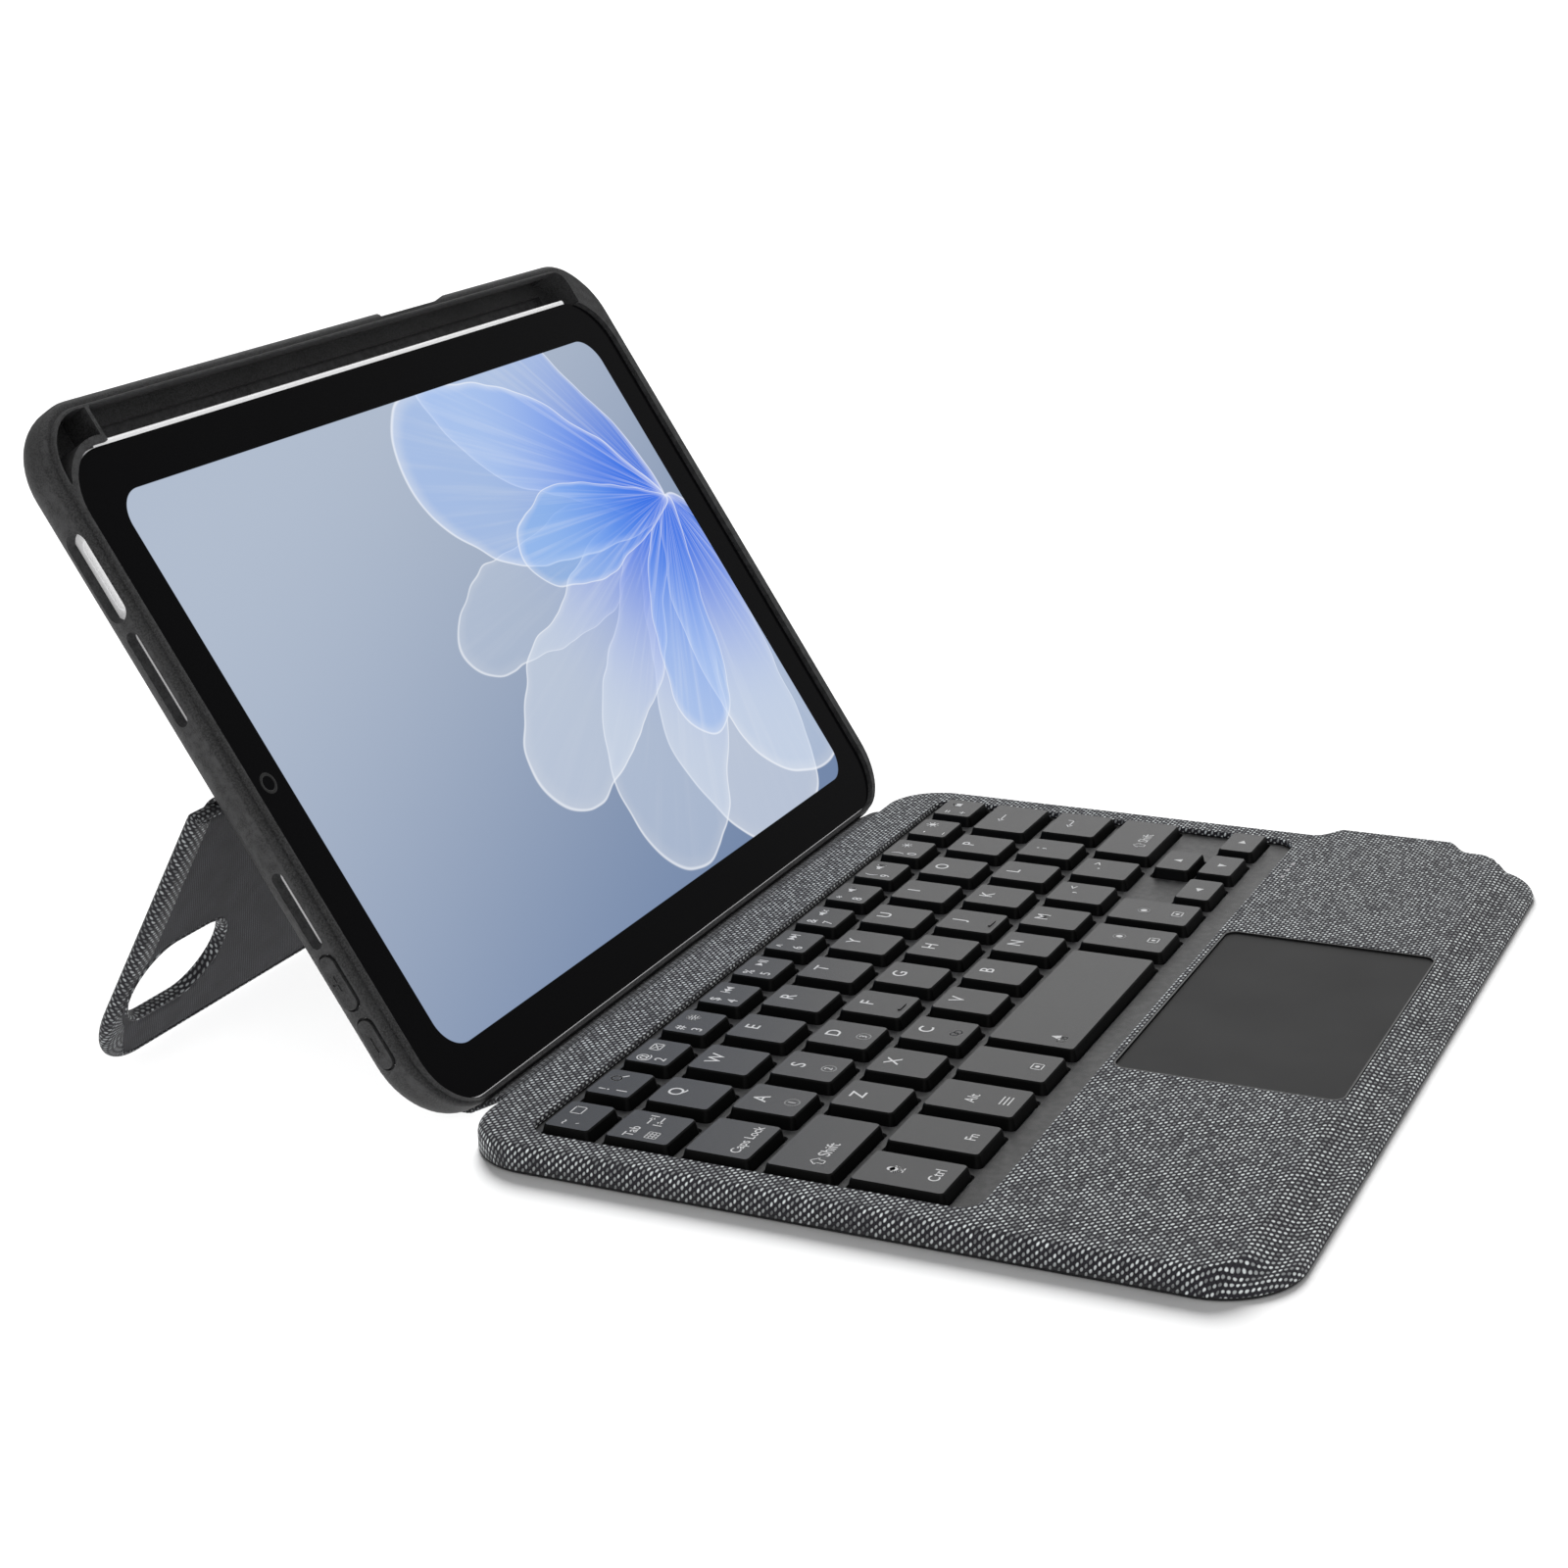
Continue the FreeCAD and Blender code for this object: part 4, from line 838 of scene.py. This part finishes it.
def screen_finish():
    """Black glass border, and under it a lit display with a plain picture of soft blue lobes."""
    m = Finish("tablet_glass", 0.1, 0.04)
    place = m.object_mm()
    x, _, _ = m.split(place)
    local = m.node("VectorMath", {0: place, 1: tuple(SHELL_ORIGIN)}, operation="SUBTRACT").outputs[0]
    u = m.node("VectorMath", {0: local, 1: tuple(UP)}, operation="DOT_PRODUCT").outputs["Value"]
    half_x, half_u, corner = DISPLAY_W / 2, DISPLAY_H / 2, 6.5
    over_x = m.less(m.math("ABSOLUTE", x), half_x - corner)
    over_u = m.less(m.math("ABSOLUTE", m.less(u, half_u)), half_u - corner)
    corner_x, corner_u = m.math("MAXIMUM", over_x, 0.0), m.math("MAXIMUM", over_u, 0.0)
    reach = m.math("SQRT", m.add(m.squared(corner_x), m.squared(corner_u)))
    lit = m.ramp(reach, corner - 0.12, corner + 0.02, 1.0, 0.0)

    slope = m.add(m.times(x, 0.45 / DISPLAY_W), m.times(u, -0.75 / DISPLAY_H))
    sky = m.mix(m.ramp(slope, -0.9, 0.22), "b3bfd1", "7388ab")
    heart_x, heart_u = 82.0, 76.0
    dx, du = m.less(x, heart_x), m.less(u, heart_u)
    distance = m.math("SQRT", m.add(m.times(dx, dx), m.times(du, du)))
    bearing = m.math("ARCTAN2", du, dx)
    rays = m.noise(m.join(m.times(bearing, 26.0), m.times(distance, 0.012)), 1.0, 3, 0.6)
    silk = m.noise(m.join(m.times(x, 0.03), m.times(u, 0.03)), 1.0, 2)
    picture = sky
    for angle, length, width, body, opacity in (
            (187, 104, 12, "c9d6ea", 0.45), (244, 88, 27, "e3ebf8", 0.7), (222, 104, 20, "d3dff1", 0.6),
            (139, 84, 24, "b9d0f6", 0.72), (204, 112, 16, "dbe5f4", 0.66), (162, 92, 22, "a4c3f6", 0.8),
            (268, 72, 26, "cfddf2", 0.7), (232, 64, 12, "86b4f6", 0.55), (180, 66, 11, "7fb4f4", 0.62)):
        turn = radians(angle)
        along = m.add(m.times(dx, cos(turn)), m.times(du, sin(turn)))
        across = m.less(m.times(du, cos(turn)), m.times(dx, sin(turn)))
        across = m.add(across, m.times(m.less(silk, 0.5), 14.0))
        swell = m.add(0.55, m.times(m.over(along, length), 0.75))
        oval = m.add(m.squared(m.over(m.less(along, length / 2), length / 2)),
                     m.squared(m.over(m.over(across, width), swell)))
        inside = m.ramp(oval, 0.985, 1.0, 1.0, 0.0)
        deep = m.ramp(m.over(distance, length), 0.05, 0.75, 1.0, 0.0)
        tone = m.mix(deep, body, "2f6fe8")
        streaks = m.times(m.ramp(rays, 0.45, 0.75), m.ramp(distance, 2, 26, 0.75, 0.25))
        tone = m.mix(streaks, tone, "eef4fd")
        tone = m.mix(m.times(m.ramp(oval, 0.8, 1.0), 0.5), tone, "f4f8fe")
        veil = m.times(inside, m.add(opacity * 0.75, m.times(deep, 0.3)))
        picture = m.mix(veil, picture, tone)
        rim = m.times(m.ramp(oval, 0.955, 0.985), m.ramp(oval, 0.99, 1.01, 1.0, 0.0))
        picture = m.mix(m.times(rim, 0.55), picture, "f7faff")
    m.set("Base Color", (0.003, 0.003, 0.0035, 1))
    m.set("Emission Color", picture)
    m.set("Emission Strength", m.times(lit, 0.97))
    m.set("Roughness", m.ramp(m.noise(place, 0.2, 2), 0.3, 0.7, 0.08, 0.14))
    return m.material


F["glass"] = screen_finish()
dress("glass", "tablet_glass", "tablet_display")


def make_tablet_trim():
    """Polished rim of the tablet where the open channel shows it, and the ring of the front camera."""
    glass = ON_SHELL.inverted()
    corners = [glass @ (v.co / MM) for v in NODES["tablet_glass"].data.vertices]
    top = max(c.y for c in corners) + 0.1
    half = max(c.x for c in corners) - 11.0
    section = [(-0.1, -0.06), (0.25, 0.02), (0.7, -0.02), (0.95, -0.22), (1.0, -0.7)]
    columns = np.linspace(-half, half, 60)
    points = [(x, top + up, out) for x in columns for up, out in section]
    n = len(section)
    faces = [(i * n + j, (i + 1) * n + j, (i + 1) * n + j + 1, i * n + j + 1)
             for i in range(len(columns) - 1) for j in range(n - 1)]
    # The rim's silver finish glows faintly as painted light.
    fix(new_piece("tablet_rim", points, faces, ON_SHELL, "silver"), "tablet")

    low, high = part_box("tablet_front_camera")
    centre = ON_SHELL.inverted() @ ((low + high) / 2 / MM)
    steps = 48
    section = [(2.05, 0.0), (1.8, 0.04), (1.5, 0.04), (1.42, 0.0)]
    points, faces = [], []
    for i in range(steps):
        angle = 2 * pi * i / steps
        across, along = cos(angle), sin(angle)
        points.extend((centre.x + r * across, centre.y + r * along, z - 0.01) for r, z in section)
        j = (i + 1) % steps
        faces.extend((i * 4 + k, j * 4 + k, j * 4 + k + 1, i * 4 + k + 1) for k in range(3))
    fix(new_piece("front_camera_ring", points, faces, ON_SHELL, "rim"), "tablet")


make_tablet_trim()


# ---- printed legends ----

KEY_TOP = span("number_keys")[1][2]
INK_LIFT = 0.02


def key_boxes(node):
    """Low and high corner of each separate key of a node, from left to right and then front to back."""
    mesh = NODES[node].data
    places = [tuple(round(c / MM, 2) for c in vertex.co) for vertex in mesh.vertices]
    leader = {place: place for place in places}

    def lead(place):
        while leader[place] != place:
            leader[place] = leader[leader[place]]
            place = leader[place]
        return place

    for edge in mesh.edges:
        a, b = (lead(places[i]) for i in edge.vertices)
        leader[a] = b
    groups = {}
    for place in leader:
        groups.setdefault(lead(place), []).append(place)
    boxes = [(np.min(g, 0), np.max(g, 0)) for g in groups.values()]
    return sorted(boxes, key=lambda box: (round(box[0][0]), box[0][1]))


class Print:
    """Flat printed marks on one key body's tops, in millimetres."""

    def __init__(self, node):
        self.node = node
        self.boxes = key_boxes(node)
        self.points = []
        self.faces = []
        self.at(0)

    def at(self, index, x=0.0, y=0.0):
        """Work from a place beside the middle of one key."""
        low, high = self.boxes[index]
        self.x = (low[0] + high[0]) / 2 + x
        self.y = (low[1] + high[1]) / 2 + y
        return self

    def shape(self, points, faces):
        first = len(self.points)
        self.points.extend((self.x + p[0], self.y + p[1], KEY_TOP + INK_LIFT) for p in points)
        self.faces.extend(tuple(first + i for i in face) for face in faces)
        return self

    def text(self, words, size, bold=0.008):
        letters = bpy.data.curves.new("letters", "FONT")
        letters.body = words
        letters.size = size
        letters.offset = bold * size
        letters.align_x = "CENTER"
        letters.align_y = "CENTER"
        holder = bpy.data.objects.new("letters", letters)
        mesh = bpy.data.meshes.new_from_object(holder)
        self.shape([v.co for v in mesh.vertices], [tuple(p.vertices) for p in mesh.polygons])
        bpy.data.objects.remove(holder)
        bpy.data.meshes.remove(mesh)
        return self

    def fill(self, *points):
        return self.shape(points, [tuple(range(len(points)))])

    def line(self, points, width=0.26):
        for (x0, y0), (x1, y1) in zip(points, points[1:]):
            length = hypot(x1 - x0, y1 - y0)
            ax, ay = (x1 - x0) / length * width / 2, (y1 - y0) / length * width / 2
            self.fill((x0 - ax + ay, y0 - ay - ax), (x1 + ax + ay, y1 + ay - ax),
                      (x1 + ax - ay, y1 + ay + ax), (x0 - ax - ay, y0 - ay + ax))
        return self

    def ring(self, radius, x=0.0, y=0.0, width=0.24, start=0, sweep=360):
        parts = max(8, round(sweep / 18))
        angles = [radians(start + sweep * i / parts) for i in range(parts + 1)]
        return self.line([(x + radius * cos(a), y + radius * sin(a)) for a in angles], width)

    def dot(self, radius, x=0.0, y=0.0):
        angles = [radians(30 * i) for i in range(12)]
        return self.fill(*((x + radius * cos(a), y + radius * sin(a)) for a in angles))

    def frame(self, w, h, width=0.24):
        return self.line([(-w, -h), (w, -h), (w, h), (-w, h), (-w, -h)], width)

    def finish(self):
        piece = new_piece("legends_" + self.node, self.points, self.faces, FLAT, "ink")
        fix(piece, self.node)


def print_number_row():
    p = Print("number_keys")
    signs = "~!@#$%^&*()-="
    digits = "`1234567890_+"
    for i, (sign, digit) in enumerate(zip(signs, digits)):
        p.at(i, -3.2, 1.5).text(sign, 3.0)
        p.at(i, -3.0, -2.0).text(digit, 3.0)
    spot = (2.0, 1.3)
    p.at(0, *spot).frame(1.35, 1.05)
    p.at(1, *spot).ring(0.95, -0.3, 0.3, 0.34).line([(0.4, -0.4), (1.3, -1.3)], 0.36)
    p.at(2, *spot).frame(1.4, 1.0).line([(-1.4, -1.0), (1.4, 1.0)]).line([(-1.4, 1.0), (1.4, -1.0)])
    p.at(3, *spot).ring(1.25, width=0.3).line([(-1.2, 0), (1.2, 0)]).line([(0, -1.2), (0, 1.2)])
    p.line([(-1.0, 0.6), (1.0, 0.6)], 0.2).line([(-1.0, -0.6), (1.0, -0.6)], 0.2)
    p.at(4, *spot).fill((1.3, 0.9), (0.0, 0.0), (1.3, -0.9)).fill((0.1, 0.9), (-1.2, 0.0), (0.1, -0.9))
    p.line([(-1.4, 0.9), (-1.4, -0.9)], 0.3)
    p.at(5, *spot).fill((-1.4, 0.9), (-1.4, -0.9), (0.0, 0.0)).line([(0.5, 0.8), (0.5, -0.8)], 0.36)
    p.line([(1.2, 0.8), (1.2, -0.8)], 0.36)
    p.at(6, *spot).fill((-1.3, 0.9), (-1.3, -0.9), (0.0, 0.0)).fill((-0.1, 0.9), (-0.1, -0.9), (1.2, 0.0))
    p.line([(1.4, 0.9), (1.4, -0.9)], 0.3)
    for i, waves in ((7, 0), (8, 1), (9, 2)):
        p.at(i, *spot).fill((-1.4, -0.4), (-0.7, -0.4), (0.1, -1.0), (0.1, 1.0), (-0.7, 0.4), (-1.4, 0.4))
        for wave in range(waves):
            p.ring(0.7 + 0.6 * wave, 0.1, 0.0, 0.24, -45, 90)
    p.at(7, *spot).line([(0.6, 0.5), (1.5, -0.5)]).line([(0.6, -0.5), (1.5, 0.5)])
    for i, radius in ((10, 0.5), (11, 0.75)):
        p.at(i, *spot).dot(radius)
        for step in range(8):
            angle = radians(45 * step)
            near, far = radius + 0.25, radius + 0.6
            p.line([(r * cos(angle), r * sin(angle)) for r in (near, far)], 0.22)
    p.at(12, *spot).fill((-0.9, -1.1), (0.9, -1.1), (0.9, 0.2), (-0.9, 0.2)).ring(0.6, 0.0, 0.3, 0.26, 0, 180)
    p.finish()


def print_letters():
    for node, letters in (("upper_letter_keys", "QWERTYUIOP"), ("home_letter_keys", "ASDFGHJKL;"),
                          ("lower_letter_keys", "ZXCVBNM,.")):
        p = Print(node)
        for i, letter in enumerate(letters):
            p.at(i, -0.3, 2.5).text(letter, 4.0)
        if node == "home_letter_keys":
            for i in range(3):
                p.at(i, 0.0, -3.3).ring(1.35).text(str(i + 1), 2.1)
        if node == "lower_letter_keys":
            p.at(2, 0.0, -3.3).ring(0.75, -0.5, 0.2).ring(0.75, 0.5, -0.2)
            p.at(7, 2.6, 2.4).text("<", 3.0)
            p.at(8, 2.6, 2.4).text(">", 3.0)
        p.finish()


def arrow_up(p, size=1.0):
    outline = [(0, 1.3), (-1.2, 0.1), (-0.55, 0.1), (-0.55, -1.1), (0.55, -1.1), (0.55, 0.1), (1.2, 0.1),
               (0, 1.3)]
    return p.line([(x * size, y * size) for x, y in outline], 0.22)


def print_wide_keys():
    p = Print("tab_key")
    p.at(0, -2.6, 2.2).text("Tab", 2.7)
    p.at(0, -3.0, -1.9).frame(1.25, 1.05, 0.2)
    for y in (0.35, -0.35):
        p.line([(-1.2, y), (1.2, y)], 0.2)
    for x in (-0.4, 0.4):
        p.line([(x, 1.0), (x, -1.0)], 0.2)
    for y, way in ((1.2, 1), (-0.8, -1)):
        p.at(0, 2.6, y).line([(-1.4 * way, 0), (1.2 * way, 0)], 0.3)
        p.fill((1.5 * way, 0), (0.4 * way, 0.6 * way), (0.4 * way, -0.6 * way))
        p.line([(1.7 * way, 0.7), (1.7 * way, -0.7)], 0.3)
    p.finish()
    p = Print("caps_lock_key")
    p.at(0, 0.2, -2.6).text("Caps Lock", 2.6)
    p.finish()
    for node, x in (("left_shift_key", -2.0), ("right_shift_key", 0.5)):
        p = Print(node)
        p.at(0, x, -1.9).text("Shift", 3.1)
        arrow_up(p.at(0, x - 4.9, -1.9), 1.1)
        p.finish()
    p = Print("backspace_key")
    p.at(0, 0.0, 2.0).line([(2.2, 0), (-1.6, 0)], 0.3).fill((-2.3, 0), (-1.0, -0.8), (-1.0, 0.8))
    p.finish()
    p = Print("enter_key")
    p.at(0, 0.0, 1.5).line([(2.2, 1.2), (2.2, 0), (-1.6, 0)], 0.3).fill((-2.3, 0), (-1.0, -0.8), (-1.0, 0.8))
    p.finish()


def print_bottom_row():
    p = Print("left_modifier_keys")
    p.at(0, 0.4, -4.9).text("Ctrl", 2.9)
    p.at(0, 0.0, 2.2).dot(0.75, 0, 0.6).dot(0.75, 0, 1.1).ring(1.15, 0, 0.6, 0.26, 180, 180)
    p.line([(0, -0.5), (0, -1.2)]).line([(-0.7, -1.2), (0.7, -1.2)])
    p.at(1, 0.4, -4.9).text("Fn", 2.9)
    p.at(2, -0.6, 1.0).text("Alt", 2.9)
    p.at(2, 0.4, -5.0)
    for y in (0.8, 0, -0.8):
        p.line([(-1.6, y), (1.6, y)])
    p.at(3, 0.4, -4.9).frame(1.2, 1.0).dot(0.45)
    p.finish()
    p = Print("space_bar")
    low, high = p.boxes[0]
    p.at(0, -(high[0] - low[0]) / 2 + 4.8, -3.9).fill((-0.9, -0.6), (1.3, -0.3), (0.5, 1.5))
    p.ring(0.8, -0.7, -0.8, 0.22).ring(0.5, 0.5, -1.2, 0.22)
    p.finish()
    p = Print("right_modifier_keys")
    for i in range(2):
        p.at(i, 0.0, 2.2).dot(0.7).ring(1.25, width=0.22)
        p.at(i, 0.2, -4.9).frame(1.2, 1.0).dot(0.45)
    p.finish()
    p = Print("arrow_keys")
    for i, angle in ((0, 180), (1, 270), (2, 90), (3, 0)):
        turn = radians(angle)
        tips = [(cos(turn + a) * r, sin(turn + a) * r)
                for a, r in ((0, 1.25), (2.2, 1.1), (-2.2, 1.1))]
        p.at(i).fill(*tips)
    p.finish()


print_number_row()
print_letters()
print_wide_keys()
print_bottom_row()


# ---- light, floor and camera ----

def sun(name, power, spread, direction, receivers, blockers=None):
    """Soft far light that shines on some pieces only; with blockers, only those cast its shadows."""
    lamp = bpy.data.lights.new(name, "SUN")
    lamp.energy = power
    lamp.angle = radians(spread)
    holder = bpy.data.objects.new(name, lamp)
    holder.rotation_euler = Vector(direction).to_track_quat("Z", "Y").to_euler()
    SCENE.collection.objects.link(holder)
    holder.light_linking.receiver_collection = receivers
    if blockers:
        holder.light_linking.blocker_collection = blockers


FLOOR_SHADOW_PARTS = ("base_cloth", "base_leather", "base_tray")


def group_of(name, pieces):
    group = bpy.data.collections.new(name)
    for piece in pieces:
        group.objects.link(piece)
    return group


def world_and_lights(floor):
    """White room; the floor gets its own light, so that only the thin base throws a shadow on it."""
    world = SCENE.world or bpy.data.worlds.new("World")
    SCENE.world = world
    world.use_nodes = True
    background = world.node_tree.nodes["Background"]
    background.inputs["Color"].default_value = (1, 1, 1, 1)
    background.inputs["Strength"].default_value = 0.36
    shown = [o for o in bpy.data.objects if o.type == "MESH" and o is not floor]
    parts = group_of("lit_parts", shown)
    floors = group_of("lit_floor", [floor])
    thin = group_of("floor_shadow_parts", [o for o in shown if o.name in FLOOR_SHADOW_PARTS])
    sun("key_light", 1.05, 70, (0.35, 0.25, 1.0), parts)
    sun("fill_light", 0.5, 50, (-0.9, -0.7, 0.8), parts)
    sun("side_light", 0.35, 36, (0.93, 0.22, 0.36), parts)
    sun("floor_light", 6.1, 34, (0.9, 0.5, 0.55), floors, thin)
    SCENE.view_settings.view_transform = "Standard"


def make_floor():
    half = 40.0
    mesh = bpy.data.meshes.new("floor")
    corners = [(-half, -half, 0), (half, -half, 0), (half, half, 0), (-half, half, 0)]
    mesh.from_pydata(corners, [], [(0, 1, 2, 3)])
    floor = bpy.data.objects.new("floor", mesh)
    SCENE.collection.objects.link(floor)
    m = Finish("floor_paper", 0.9, 0.1)
    m.set("Base Color", m.mix(m.noise(m.object_mm(), 0.01, 2), (0.93, 0.93, 0.93, 1), (0.95, 0.95, 0.95, 1)))
    mesh.materials.append(m.material)
    return floor


def make_camera():
    place = Vector((-0.4980, -0.17675, 0.2173))
    heading = radians(64.83)
    down = radians(17.94)
    roll = -0.02586
    flat = cos(down)
    forward = Vector((sin(heading) * flat, cos(heading) * flat, -sin(down)))
    level = Vector((cos(heading), -sin(heading), 0))
    above = level.cross(forward)
    right = level * cos(roll) + above * sin(roll)
    up = right.cross(forward)
    camera = bpy.data.objects.new("camera", bpy.data.cameras.new("camera"))
    camera.data.sensor_width = 36.0
    camera.data.lens = 66.85
    camera.data.clip_start = 0.01
    camera.data.clip_end = 200.0
    turn = Matrix((right, up, -forward)).transposed().to_4x4()
    camera.matrix_world = Matrix.Translation(place) @ turn
    SCENE.collection.objects.link(camera)
    SCENE.camera = camera


world_and_lights(make_floor())
make_camera()
